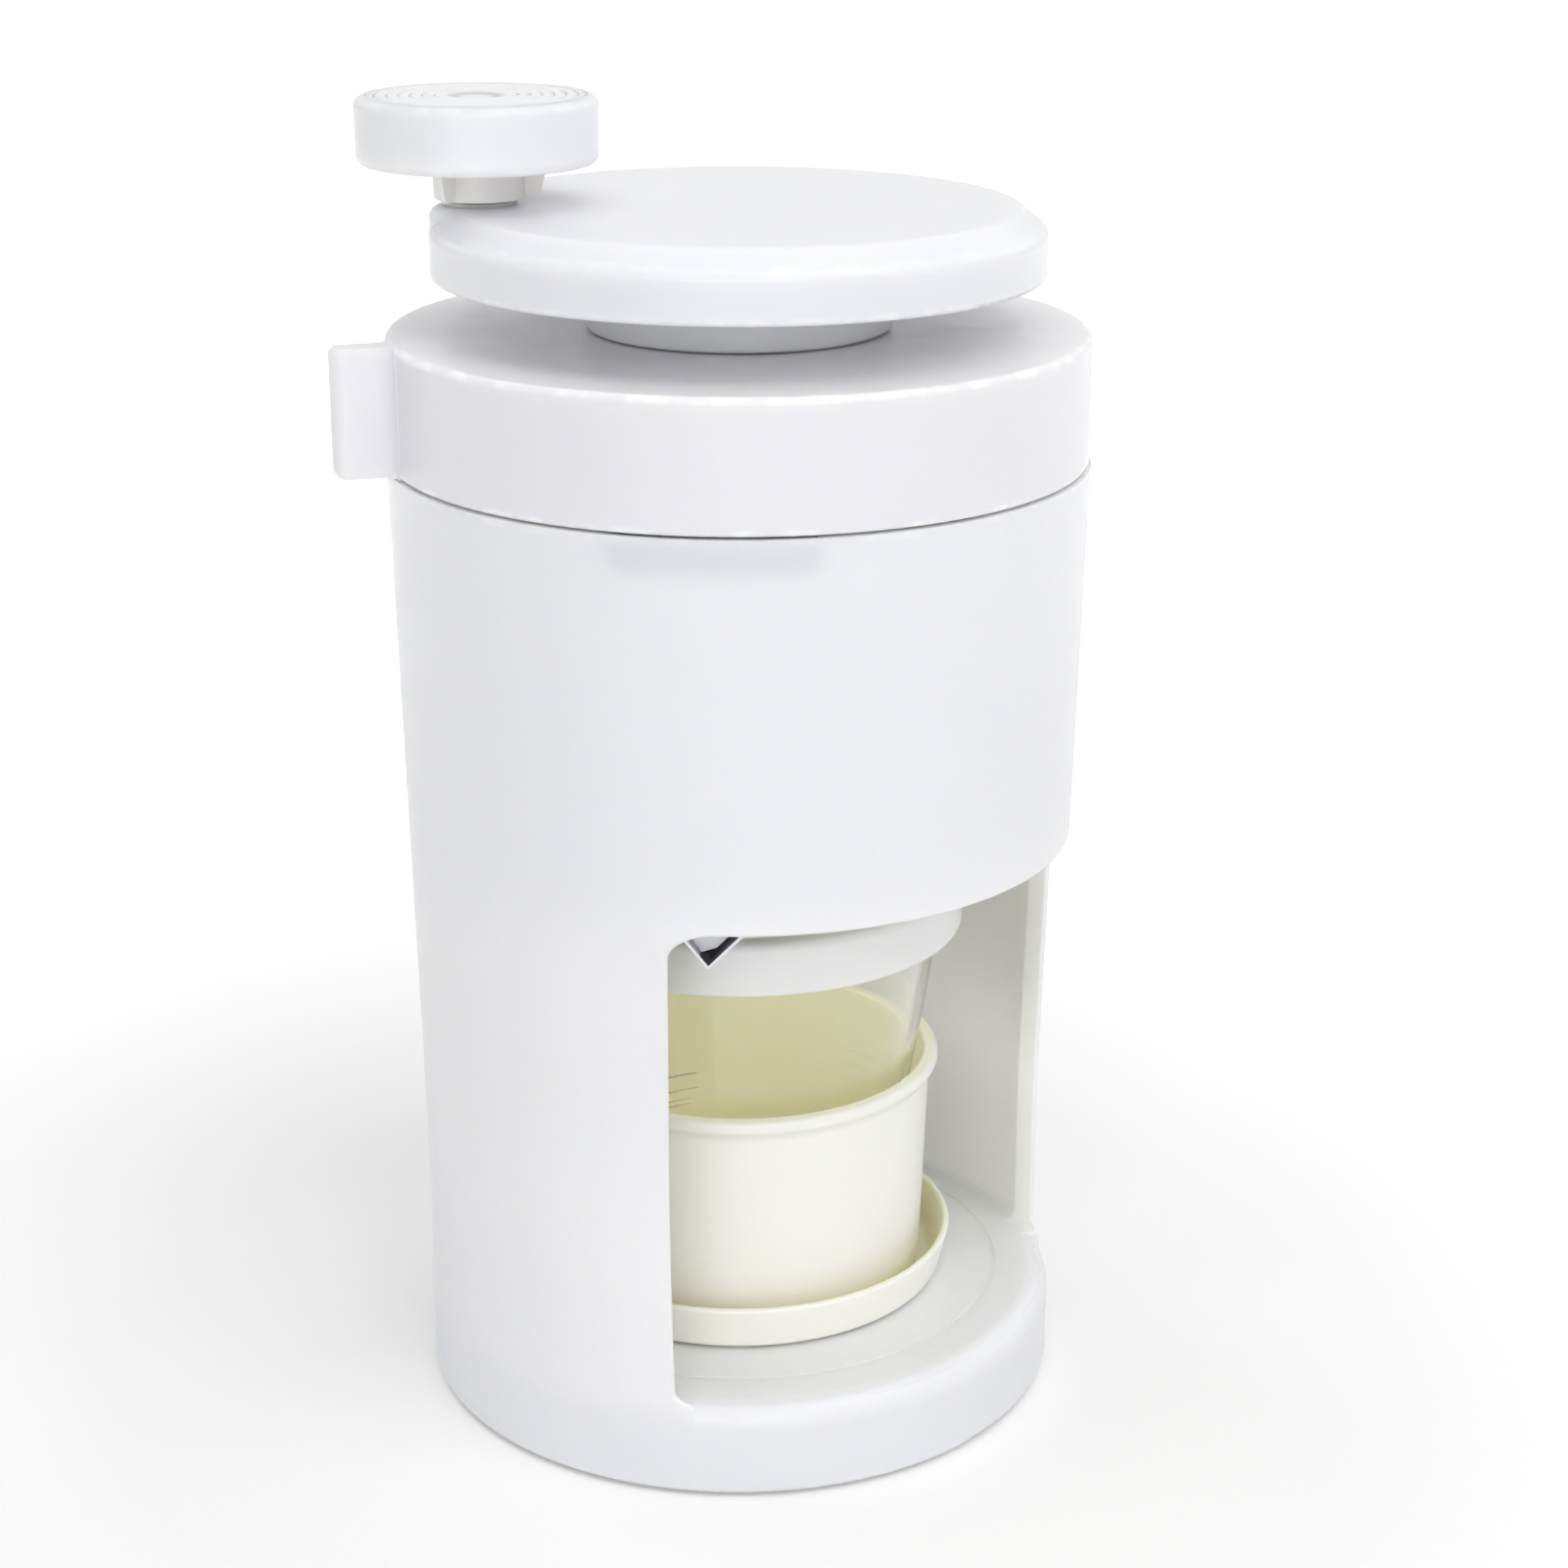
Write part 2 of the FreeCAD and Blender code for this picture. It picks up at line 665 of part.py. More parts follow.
def make_blade_holder():
    """White wedge inside the folded blade, screwed up against the chamber's floor."""
    low = blade_fold_z + holder_foot_gap + blade_sheet
    chin = low + holder_chin
    high = chamber_z
    back_off = (blade_sheet + seat_gap) / math.cos(math.radians(back_lean))
    lean_off = (blade_sheet + holder_gap) / math.cos(math.radians(blade_lean))
    section = [
        (-leg_x(low, back_lean) + back_off, low), (leg_x(chin, blade_lean) - lean_off, chin, edge_r),
        (leg_x(high, blade_lean) - lean_off, high), (-leg_x(high, back_lean) + back_off, high)]
    wedge = prism(section, -(chamber_r - blade_end_gap - holder_setback), -blade_inner_r - blade_end_play)
    screw_end = high + blade_screw_floor - blade_screw_long
    for place in blade_screw_places:
        thread = drum(screw_r + thread_gap, screw_end - screw_tip_gap, high + past)
        wedge = wedge.cut(placed(thread, place, 0))
    return placed(wedge, 0, blade_heading)


def make_blade_screws():
    """Their heads are ground level with the chamber's floor."""
    head_z = chamber_z + blade_screw_floor
    one = screw(head_z, blade_screw_long, heads_up=True)
    one = one.cut(drum(lug_boss_r, chamber_floor_z - seat_gap, head_z + 2 * screw_head_tall))
    return [placed(one, place, blade_heading) for place in blade_screw_places]


# ---- Lid ----
def make_lid():
    skirt_in = lid_r - lid_wall
    lid = lathe([
        (0, lid_roof_z), (skirt_in, lid_roof_z, soft_edge_r), (skirt_in, lid_z + lid_wall, edge_r),
        (spigot_in_r, lid_z + lid_wall), (spigot_in_r, spigot_z, edge_r), (spigot_r, spigot_z, edge_r),
        (spigot_r, lid_z), (lid_r, lid_z, edge_r), (lid_r, lid_top_z, lid_round), (0, lid_top_z)])
    lid = lid.fuse(make_tab())
    boss_r = bush_bore_r + bush_wall
    lid = lid.fuse(drum(boss_r + lid_boss_wall, bush_z, lid_roof_z + bite))
    lid = lid.cut(drum(boss_r, bush_z - past, lid_top_z + past))
    post = drum(lid_post_r, post_z, lid_roof_z + bite)
    post = post.cut(drum(screw_r + thread_gap, post_z - past, post_z + screw_bite))
    for heading in spread(lid_post_count):
        lid = lid.fuse(placed(post, lid_post_ring_r, heading))
    lug_top = housing_top_z - lid_lug_drop
    lug_low = lug_top - lid_lug_tall
    lug_out = spigot_r + lid_lug_out
    lug = [(spigot_r - bite, lug_low), (lug_out, lug_low, edge_r), (lug_out, lug_top, edge_r),
           (spigot_r - bite, lug_top)]
    for heading in spread(lid_lug_count, tab_heading + lid_lug_turn):
        lid = lid.fuse(lathe(lug, 2 * lid_lug_half_angle, heading))
    return lid.removeSplitter()


def make_tab():
    """Upright thumb tab on the lid's side; its outer edge is fully rounded."""
    low, high, tall = lid_z, lid_top_z, lid_height
    reach = lid_r + tab_reach
    inner = lid_r - lid_wall / 2
    half = tab_thick / 2
    nose_r = reach - half
    plate = Part.makeBox(tab_thick, nose_r - inner, tall, Vec(-half, -nose_r, low))
    nose = Part.makeCylinder(half, tall, Vec(0, -nose_r, low))
    tab = plate.fuse(nose).removeSplitter()
    around = prism([(-reach - past, low - past), (-inner, low - past), (-inner, low),
                    (-reach, low, tab_corner_r), (-reach, high, tab_corner_r), (-inner, high),
                    (-inner, high + past), (-reach - past, high + past)], -half - past, half + past)
    around.rotate(origin, upwards, 90)
    tab = tab.cut(around)
    root_y = -lid_r - tab_root_r
    for way in (-1, 1):
        root_x = way * (half + tab_root_r)
        corner = Part.makeBox(tab_root_r, tab_root_r + past, tall, Vec(min(way * half, root_x), root_y, low))
        hollow = Part.makeCylinder(tab_root_r, tall, Vec(root_x, root_y, low))
        tab = tab.fuse(corner.cut(hollow))
    return placed(tab, 0, tab_heading)


def make_inner_plate():
    """Closes the lid from below, with a hole round the shaft's collar."""
    inner = collar_r + inner_plate_bore_gap
    outer = spigot_in_r - inner_plate_gap
    plate = lathe([(inner, lid_z), (outer, lid_z, edge_r), (outer, post_z), (inner, post_z)])
    hole = drum(screw_r + seat_gap, lid_z - past, post_z + past)
    for heading in spread(lid_post_count):
        plate = plate.cut(placed(hole, lid_post_ring_r, heading))
    return plate


def make_plate_screws():
    one = screw(lid_z, inner_plate_thick + screw_bite - past)
    return [placed(one, lid_post_ring_r, heading) for heading in spread(lid_post_count)]


def make_bush():
    tube = ring(bush_bore_r + bush_wall, bush_bore_r, bush_z, lid_top_z)
    flange = ring(bush_flange_r, bush_bore_r, lid_top_z, lid_top_z + bush_flange_thick)
    return tube.fuse(flange).removeSplitter()


def make_seal():
    outer = spigot_r - seal_inset
    inner = outer - seal_width
    low = chamber_rim_z + body_gap
    high = spigot_z - body_gap
    return lathe([(inner, low, edge_r), (outer, low, edge_r), (outer, high, edge_r), (inner, high, edge_r)])


def make_thrust_washer():
    return ring(collar_r + bite, shaft_r + seat_gap, bush_z - washer_thick, bush_z)


# ---- Crank ----
def make_disc():
    """Cover of the crank: a dished shell with a full height boss under the knob."""
    low, top = disc_z, disc_top_z
    slope_in = disc_r - disc_chamfer_in
    slope_z = top - disc_chamfer_down
    shell = lathe([(0, low), (disc_r, low, soft_edge_r), (disc_r, slope_z, disc_round),
                   (slope_in, top, disc_round), (0, top)])
    boss = lathe([(0, low + past), (knob_boss_r, low + past), (knob_boss_r, top, knob_boss_round), (0, top)])
    shell = shell.fuse(placed(boss, knob_offset, knob_heading))
    inside_r = disc_r - disc_wall
    half_wall = disc_wall / 2
    hollow = lathe([(0, low - past), (inside_r, low - past), (inside_r, slope_z - half_wall),
                    (slope_in - half_wall, disc_roof_z), (0, disc_roof_z)])
    pillar = drum(knob_pillar_r, crank_plate_top_z, top)
    hollow = hollow.cut(placed(pillar, knob_offset, knob_heading))
    post = drum(screw_boss_r, crank_plate_top_z, top)
    for heading in crank_screw_headings:
        hollow = hollow.cut(placed(post, crank_screw_ring_r, heading))
    shell = shell.cut(hollow)
    thread = drum(screw_r + thread_gap, crank_plate_top_z - past, disc_roof_z - screw_tip_gap)
    for heading in crank_screw_headings:
        shell = shell.cut(placed(thread, crank_screw_ring_r, heading))
    stud_hole = drum(stud_thread_r + thread_gap, top - stud_thread_long - screw_tip_gap, top + past)
    return shell.cut(placed(stud_hole, knob_offset, knob_heading)).removeSplitter()


def make_crank_base():
    """Plate that closes the disc, with the neck and the hub that takes the shaft."""
    neck_z = lid_top_z + body_gap
    neck_in_r = neck_r - neck_wall
    neck_top_z = crank_plate_z + past
    plate = drum(disc_r - disc_wall - seat_gap, crank_plate_z, crank_plate_top_z)
    neck = lathe([(neck_in_r, neck_z, edge_r), (neck_r, neck_z, edge_r), (neck_r, neck_top_z),
                  (neck_in_r, neck_top_z)])
    base = plate.fuse(neck).fuse(drum(crank_hub_r, crank_hub_z, crank_hub_top_z))
    base = base.cut(drum(shaft_r + seat_gap, crank_hub_z - past, drive_z))
    base = base.cut(square_bar(drive_square + 2 * thread_gap, drive_z - past, crank_hub_top_z + past))
    hole = drum(screw_r + seat_gap, crank_plate_z - past, crank_plate_top_z + past)
    for heading in crank_screw_headings:
        base = base.cut(placed(hole, crank_screw_ring_r, heading))
    return base.removeSplitter()


def make_crank_screws():
    one = screw(crank_plate_z, disc_roof_z - 4 * screw_tip_gap - crank_plate_z)
    return [placed(one, crank_screw_ring_r, heading) for heading in crank_screw_headings]


def make_shaft():
    shaft = square_bar(shaft_square, shaft_end_z, collar_z + bite)
    shaft = shaft.common(drum(shaft_corner_r, shaft_end_z, collar_z + bite))
    shaft = shaft.fuse(drum(collar_r, collar_z, collar_top_z))
    shaft = shaft.fuse(drum(shaft_r, collar_top_z - bite, drive_z))
    shaft = shaft.fuse(square_bar(drive_square, drive_z - bite, crank_hub_top_z - body_gap))
    hole_r = axle_screw_r + thread_gap
    hole_long = axle_screw_long + 2 * screw_tip_gap
    shaft = shaft.cut(drum(hole_r, shaft_end_z - past, shaft_end_z + hole_long))
    shaft = shaft.cut(drum(hole_r, crank_hub_top_z - hole_long, crank_hub_top_z + past))
    return shaft.removeSplitter()


def make_shaft_screw():
    return flanged_screw(crank_hub_top_z, axle_screw_flange_r, axle_screw_flange, axle_screw_head_r,
                         axle_screw_head_tall, axle_screw_r, axle_screw_long)


# ---- Presser ----
def spike_places():
    outer_r = presser_r - spike_edge_inset
    step = (outer_r - spike_inner_r) / (len(spike_counts) - 1)
    for i, count in enumerate(spike_counts):
        for heading in spread(count):
            yield spike_inner_r + i * step, heading


def make_presser():
    hub_top = presser_z + presser_hub_tall
    plate = lathe([(0, presser_z), (presser_r, presser_z, soft_edge_r),
                   (presser_r, presser_top_z, soft_edge_r), (0, presser_top_z)])
    plate = plate.fuse(drum(presser_hub_r, presser_hub_z, hub_top))
    bore = square_bar(shaft_square + 2 * presser_bore_gap, presser_hub_z - past, hub_top + past)
    plate = plate.cut(bore)
    socket = drum(spike_r, presser_z - past, spike_top_z)
    for radius, heading in spike_places():
        plate = plate.cut(placed(socket, radius, heading))
    return plate.removeSplitter()


def make_spikes():
    spike = lathe([(0, spike_point_z), (spike_tip_r, spike_point_z), (spike_r, spike_point_z + spike_taper),
                   (spike_r, spike_top_z), (0, spike_top_z)])
    return [placed(spike, radius, heading) for radius, heading in spike_places()]


def make_spring():
    """Coil of tilted half turns, which meet end to end in the same direction."""
    wire_r = spring_wire / 2
    low = presser_top_z + wire_r + seat_gap
    tall = spring_seat_z - wire_r - seat_gap - low
    half_turns = []
    rise = tall / (2 * spring_turns)
    for i in range(2 * spring_turns):
        side = 1 if i % 2 == 0 else -1
        start = Vec(side * spring_r, 0, low + i * rise)
        middle = Vec(0, 0, low + (i + 0.5) * rise)
        axis = Vec(side * rise, 0, 2 * spring_r)
        wire = Part.Face(Part.Wire(Part.makeCircle(wire_r, start, Vec(0, 1, 0))))
        half_turns.append(wire.revolve(middle, axis, 180))
    return half_turns[0].multiFuse(half_turns[1:]).removeSplitter()


def make_spring_seat():
    return ring(spring_seat_r, shaft_corner_r + seat_gap, spring_seat_z, spring_seat_z + spring_seat_thick)


def make_stop_washer():
    return ring(stop_washer_r, axle_screw_r + seat_gap, shaft_end_z - stop_washer_thick, shaft_end_z)


def make_stop_screw():
    seat_z = shaft_end_z - stop_washer_thick
    head_z = seat_z - axle_screw_head_tall
    head = lathe([(0, head_z), (axle_screw_head_r, head_z, edge_r), (axle_screw_head_r, seat_z), (0, seat_z)])
    return head.fuse(drum(axle_screw_r, seat_z - bite, seat_z + axle_screw_long)).removeSplitter()


# ---- Knob ----
def at_knob(shape):
    return placed(shape, knob_offset, knob_heading)


def make_knob():
    """Cup that the fingers hold, open at the top for its cap."""
    shell = lathe([(0, knob_z), (knob_r, knob_z, knob_round), (knob_r, knob_top_z, knob_round),
                   (0, knob_top_z)])
    shell = shell.cut(drum(knob_cap_r + seat_gap, knob_cap_z, knob_top_z + past))
    shell = shell.cut(drum(knob_cap_r - knob_ledge, knob_core_z, knob_cap_z + past))
    shell = shell.cut(ring(knob_r - knob_wall, stud_r + knob_core_wall, knob_z + knob_wall,
                           knob_cap_z - knob_ledge_thick))
    bore = drum(stud_r + running_gap, knob_z - past, knob_top_z)
    return at_knob(shell.cut(bore).removeSplitter())


def make_knob_cap():
    """Cap with fine ring ridges round a shallow dished centre."""
    cap = lathe([(0, knob_cap_z), (knob_cap_r, knob_cap_z), (knob_cap_r, knob_top_z, edge_r / 2),
                 (0, knob_top_z)])
    high = knob_top_z + knob_ring_deep / 3
    for i in range(knob_ring_count):
        r = knob_dish_r + (i + 0.5) * knob_ring_pitch
        cap = cap.cut(lathe([(r - knob_ring_half, high), (r, knob_top_z - knob_ring_deep),
                             (r + knob_ring_half, high)]))
    sphere_r = (knob_dish_r ** 2 + knob_dish_deep ** 2) / (2 * knob_dish_deep)
    dish = Part.makeSphere(sphere_r, Vec(0, 0, knob_top_z - knob_dish_deep + sphere_r))
    return at_knob(cap.cut(dish))


def make_knob_hub():
    """Collar under the knob, with fins that narrow downwards."""
    hub = lathe([(0, hub_z), (hub_core_r, hub_z, hub_round), (hub_core_r, knob_z), (0, knob_z)])
    fin_z = hub_z + hub_fin_lift
    fin_in = hub_core_r - past
    half = hub_fin_thick / 2
    fin = prism([(fin_in, fin_z), (hub_fin_foot_r, fin_z, hub_fin_round), (hub_fin_r, knob_z),
                 (fin_in, knob_z)], -half, half)
    for heading in spread(hub_fin_count, hub_fin_heading - 90 - knob_heading):
        hub = hub.fuse(placed(fin, 0, heading))
    bore = drum(stud_r + running_gap, hub_z - past, knob_z + past)
    return at_knob(hub.cut(bore).removeSplitter())


def make_stud():
    stud = drum(stud_r, disc_top_z, stud_top_z)
    stud = stud.fuse(drum(stud_thread_r, disc_top_z - stud_thread_long, disc_top_z + bite))
    thread = drum(screw_r + thread_gap, stud_top_z - knob_screw_long - screw_tip_gap, stud_top_z + past)
    return at_knob(stud.cut(thread).removeSplitter())


def make_knob_screw():
    return at_knob(flanged_screw(stud_top_z, knob_screw_flange_r, knob_screw_flange, knob_screw_head_r,
                                 knob_screw_head_tall, screw_r, knob_screw_long))


def make_knob_spacer():
    return at_knob(ring(spacer_r, stud_r + seat_gap, disc_top_z, disc_top_z + spacer_thick))


# ---- Cup, sleeve and saucer ----
def make_cup():
    inner_floor = cup_z + cup_floor
    slant = cup_wall / math.cos(math.radians(cup_draft))
    return lathe([
        (0, cup_z), (cup_radius(cup_z), cup_z, cup_foot_r), (cup_rim_r, cup_rim_z, edge_r),
        (cup_rim_r - slant, cup_rim_z, edge_r), (cup_radius(inner_floor) - slant, inner_floor, cup_floor_r),
        (0, inner_floor)])


def make_cup_collar():
    """Ring that is pressed over the cup's rim, with a lip that rests on it."""
    low = cup_collar_top_z - collar_height
    skirt_in = cup_rim_r + seat_gap
    lip_r = cup_rim_r - collar_lip_in
    return lathe([
        (skirt_in, low, edge_r), (collar_out_r, low, soft_edge_r),
        (collar_out_r, cup_collar_top_z, collar_round), (lip_r, cup_collar_top_z, edge_r),
        (lip_r, cup_rim_z), (skirt_in, cup_rim_z)])


def make_sleeve():
    """Opaque cup that the clear cup stands in, with a lip turned out at its rim."""
    def outer(z):
        return sleeve_foot_r + (z - sleeve_z) * sleeve_lean

    lip_z = sleeve_top_z - sleeve_lip_tall
    neck_z = lip_z - sleeve_lip_out
    lip_r = outer(sleeve_top_z) + sleeve_lip_out
    rim_in_r = outer(sleeve_top_z) - sleeve_wall
    return lathe([
        (0, sleeve_z), (outer(sleeve_z), sleeve_z, sleeve_foot_round),
        (outer(neck_z), neck_z, sleeve_lip_round),
        (lip_r, lip_z + body_gap, soft_edge_r), (lip_r, sleeve_top_z, soft_edge_r),
        (rim_in_r, sleeve_top_z, edge_r), (outer(cup_z) - sleeve_wall, cup_z, sleeve_foot_round), (0, cup_z)])


def make_saucer():
    top = saucer_z + saucer_height
    foot_r = sleeve_foot_r + saucer_foot_out
    rim_r = sleeve_foot_r + saucer_out
    return lathe([
        (0, saucer_z), (foot_r, saucer_z, saucer_round), (rim_r, top, edge_r),
        (rim_r - saucer_wall, top, edge_r), (foot_r - saucer_floor, sleeve_z, saucer_round), (0, sleeve_z)])


# ---- All nodes ----
makers = {
    "housing": make_housing,
    "base_plate": make_base_plate,
    "rubber_feet": make_feet,
    "base_screws": make_base_screws,
    "ice_chamber": make_chamber,
    "chamber_screws": make_chamber_screws,
    "blade": make_blade,
    "blade_holder": make_blade_holder,
    "blade_screws": make_blade_screws,
    "lid_seal": make_seal,
    "lid": make_lid,
    "lid_inner_plate": make_inner_plate,
    "lid_plate_screws": make_plate_screws,
    "lid_bush": make_bush,
    "thrust_washer": make_thrust_washer,
    "crank_disc": make_disc,
    "crank_base": make_crank_base,
    "crank_screws": make_crank_screws,
    "drive_shaft": make_shaft,
    "shaft_screw": make_shaft_screw,
    "spring_seat": make_spring_seat,
    "presser_spring": make_spring,
    "stop_washer": make_stop_washer,
    "stop_screw": make_stop_screw,
    "presser_plate": make_presser,
    "presser_spikes": make_spikes,
    "knob_stud": make_stud,
    "knob_spacer": make_knob_spacer,
    "knob_screw": make_knob_screw,
    "knob": make_knob,
    "knob_cap": make_knob_cap,
    "knob_hub": make_knob_hub,
    "saucer": make_saucer,
    "cup_sleeve": make_sleeve,
    "cup": make_cup,
    "cup_collar": make_cup_collar,
}

os.makedirs("parts", exist_ok=True)
for name, make in makers.items():
    made = make()
    shape = Part.makeCompound(made) if isinstance(made, list) else made
    shape.exportStep("parts/" + name + ".step")
    print(name, len(shape.Solids), "solid(s),", round(shape.Volume), "mm3, valid:", shape.isValid())
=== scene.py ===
import math

import bmesh
import bpy
from mathutils import Matrix, Vector


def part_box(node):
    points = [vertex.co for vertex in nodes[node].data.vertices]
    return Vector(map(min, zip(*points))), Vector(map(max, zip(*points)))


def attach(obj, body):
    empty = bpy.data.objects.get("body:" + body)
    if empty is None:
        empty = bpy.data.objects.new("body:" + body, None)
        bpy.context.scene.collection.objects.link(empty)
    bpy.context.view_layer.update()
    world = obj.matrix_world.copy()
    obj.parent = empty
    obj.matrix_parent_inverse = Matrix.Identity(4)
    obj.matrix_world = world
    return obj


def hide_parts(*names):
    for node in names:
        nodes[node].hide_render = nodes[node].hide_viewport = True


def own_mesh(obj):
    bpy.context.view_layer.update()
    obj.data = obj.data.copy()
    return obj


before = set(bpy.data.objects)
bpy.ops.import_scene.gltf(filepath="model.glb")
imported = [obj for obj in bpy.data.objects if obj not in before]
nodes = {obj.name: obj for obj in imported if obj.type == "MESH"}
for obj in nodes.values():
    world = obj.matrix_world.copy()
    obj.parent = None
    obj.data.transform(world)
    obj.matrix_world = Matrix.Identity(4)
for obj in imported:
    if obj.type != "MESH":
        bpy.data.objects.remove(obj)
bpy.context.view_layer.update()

mm = 0.001
print("frame loaded:", len(nodes), "nodes")


def linearTone(hexTone):
    # sRGB hex to the linear colour that the sockets take
    parts = [int(hexTone[i:i + 2], 16) / 255 for i in (1, 3, 5)]
    bent = [c / 12.92 if c <= 0.04045 else ((c + 0.055) / 1.055) ** 2.4 for c in parts]
    return (*bent, 1.0)


def addNode(tree, kind, inputs=None, **settings):
    # adds a node; an input takes a constant, a socket, or a node for its first output in use
    node = tree.nodes.new(kind)
    for name, value in settings.items():
        setattr(node, name, value)
    for name, value in (inputs or {}).items():
        if isinstance(value, bpy.types.Node):
            value = next(socket for socket in value.outputs if socket.enabled)
        if isinstance(value, bpy.types.NodeSocket):
            tree.links.new(value, node.inputs[name])
        else:
            node.inputs[name].default_value = value
    return node


def perMm(size):
    # scale of a pattern whose features are this many millimetres apart
    return 1 / (size * mm)


# Camera: the object's 45 degree side, a little from above
cameraSetup = {
    "place": (-382.5, -382.5, 298.5),      # mm
    "heading": -45.0,                      # degrees, the side it stands on
    "yaw": 0.015, "pitch": 0.328, "roll": 0.003,
    "sensor": 36, "focalPixels": 3158, "imagePixels": 1601,
    "near": 20, "far": 20000,              # mm, what it can see
}


def makeCamera(setup):
    yaw, pitch, roll = setup["yaw"], setup["pitch"], setup["roll"]
    ahead = Vector((math.sin(yaw) * math.cos(pitch), math.cos(yaw) * math.cos(pitch), -math.sin(pitch)))
    right = Vector((math.cos(yaw), -math.sin(yaw), 0))
    up = right.cross(ahead)
    rolledRight = math.cos(roll) * right + math.sin(roll) * up
    rolledUp = math.cos(roll) * up - math.sin(roll) * right
    turn = Matrix((rolledRight, rolledUp, -ahead)).transposed().to_4x4()
    data = bpy.data.cameras.new("camera")
    data.sensor_width = setup["sensor"]
    data.lens = setup["focalPixels"] / setup["imagePixels"] * setup["sensor"]
    data.clip_start = setup["near"] * mm
    data.clip_end = setup["far"] * mm
    camera = bpy.data.objects.new("camera", data)
    bpy.context.scene.collection.objects.link(camera)
    heading = Matrix.Rotation(math.radians(setup["heading"]), 4, "Z")
    camera.matrix_world = Matrix.Translation(Vector(setup["place"]) * mm) @ heading @ turn
    bpy.context.scene.camera = camera


makeCamera(cameraSetup)
bpy.context.scene.view_settings.view_transform = "Standard"
print("camera placed")


# Studio: a faint white dome, a softbox overhead, a broad one in front and weaker ones around
studio = {
    "dome": 0.30, "aimHeight": 110,        # mm
    "floorTone": "#F4F4F4", "floorRadius": 6.0, "floorSegments": 96,
    "glowNear": 0.10, "glowFar": 1.0,      # only the backdrop's own look, not light on the object
    "nearReach": 0.12, "farReach": 0.9,    # metres from the object
    "lamps": [
        # name, heading from the camera's side and elevation in degrees, distance m, size m, watts
        ("topSoftbox", 0, 88, 1.6, 1.8, 11.8),
        ("frontSoftbox", 0, 14, 1.9, 1.6, 13.6),
        ("highSoftbox", 45, 45, 1.9, 1.5, 9.2),
        ("leftSoftbox", -80, 15, 1.9, 1.3, 2.2),
        ("backRightSoftbox", 125, 30, 1.9, 1.3, 4.0),
        ("backLeftSoftbox", -125, 30, 1.9, 1.3, 3.0),
    ],
    # A weak lamp over the cup gives its inside the light that thin cream walls let through
    "cupLamp": {"height": 95.5, "across": 40, "watts": 0.012, "spread": 125},  # mm, degrees
}
white = (1, 1, 1, 1)


def whiteRays(tree):
    # 1 where the backdrop is looked at straight, in a reflection or through something clear
    path = addNode(tree, "ShaderNodeLightPath")
    straight = addNode(tree, "ShaderNodeMath", {
        0: path.outputs["Is Camera Ray"], 1: path.outputs["Is Glossy Ray"]}, operation="MAXIMUM")
    return addNode(tree, "ShaderNodeMath", {
        0: straight, 1: path.outputs["Is Transmission Ray"]}, operation="MAXIMUM")


def makeWorld(setup):
    world = bpy.data.worlds.new("studioDome")
    bpy.context.scene.world = world
    world.use_nodes = True
    tree = world.node_tree
    tree.nodes.clear()
    light = addNode(tree, "ShaderNodeBackground", {"Color": white, "Strength": setup["dome"]})
    backdrop = addNode(tree, "ShaderNodeBackground", {"Color": white, "Strength": 1.0})
    mix = addNode(tree, "ShaderNodeMixShader", {0: whiteRays(tree), 1: light, 2: backdrop})
    addNode(tree, "ShaderNodeOutputWorld", {"Surface": mix})


def newMaterial(name):
    material = bpy.data.materials.new(name)
    material.use_nodes = True
    material.node_tree.nodes.clear()
    return material, material.node_tree


def makeFloor(setup):
    # painted almost white; its own glow grows outwards until it meets the white backdrop
    paint, tree = newMaterial("paintedStudioFloor")
    body = addNode(tree, "ShaderNodeBsdfDiffuse", {"Color": linearTone(setup["floorTone"])})
    place = addNode(tree, "ShaderNodeTexCoord").outputs["Object"]
    reach = addNode(tree, "ShaderNodeVectorMath", {0: place}, operation="LENGTH")
    level = addNode(tree, "ShaderNodeMapRange", {
        "Value": reach, "From Min": setup["nearReach"], "From Max": setup["farReach"],
        "To Min": setup["glowNear"], "To Max": setup["glowFar"]})
    strength = addNode(tree, "ShaderNodeMath", {0: whiteRays(tree), 1: level}, operation="MULTIPLY")
    glow = addNode(tree, "ShaderNodeEmission", {"Color": white, "Strength": strength})
    both = addNode(tree, "ShaderNodeAddShader", {0: body, 1: glow})
    addNode(tree, "ShaderNodeOutputMaterial", {"Surface": both})
    mesh = bpy.data.meshes.new("studioFloor")
    shape = bmesh.new()
    bmesh.ops.create_circle(
        shape, cap_ends=True, segments=setup["floorSegments"], radius=setup["floorRadius"])
    shape.to_mesh(mesh)
    shape.free()
    mesh.materials.append(paint)
    floor = bpy.data.objects.new("studioFloor", mesh)
    bpy.context.scene.collection.objects.link(floor)


def addLamp(name, shape, size, watts):
    data = bpy.data.lights.new(name, "AREA")
    data.shape = shape
    data.size = size
    data.energy = watts
    lamp = bpy.data.objects.new(name, data)
    bpy.context.scene.collection.objects.link(lamp)
    return lamp


def makeSoftboxes(setup):
    aim = Vector((0, 0, setup["aimHeight"] * mm))
    for name, heading, elevation, distance, size, watts in setup["lamps"]:
        side = math.radians(heading + cameraSetup["heading"])
        rise = math.radians(elevation)
        way = Vector((math.sin(side) * math.cos(rise), -math.cos(side) * math.cos(rise), math.sin(rise)))
        lamp = addLamp(name, "SQUARE", size, watts)
        lamp.location = aim + way * distance
        lamp.rotation_mode = "QUATERNION"
        lamp.rotation_quaternion = (-way).to_track_quat("-Z", "Y")


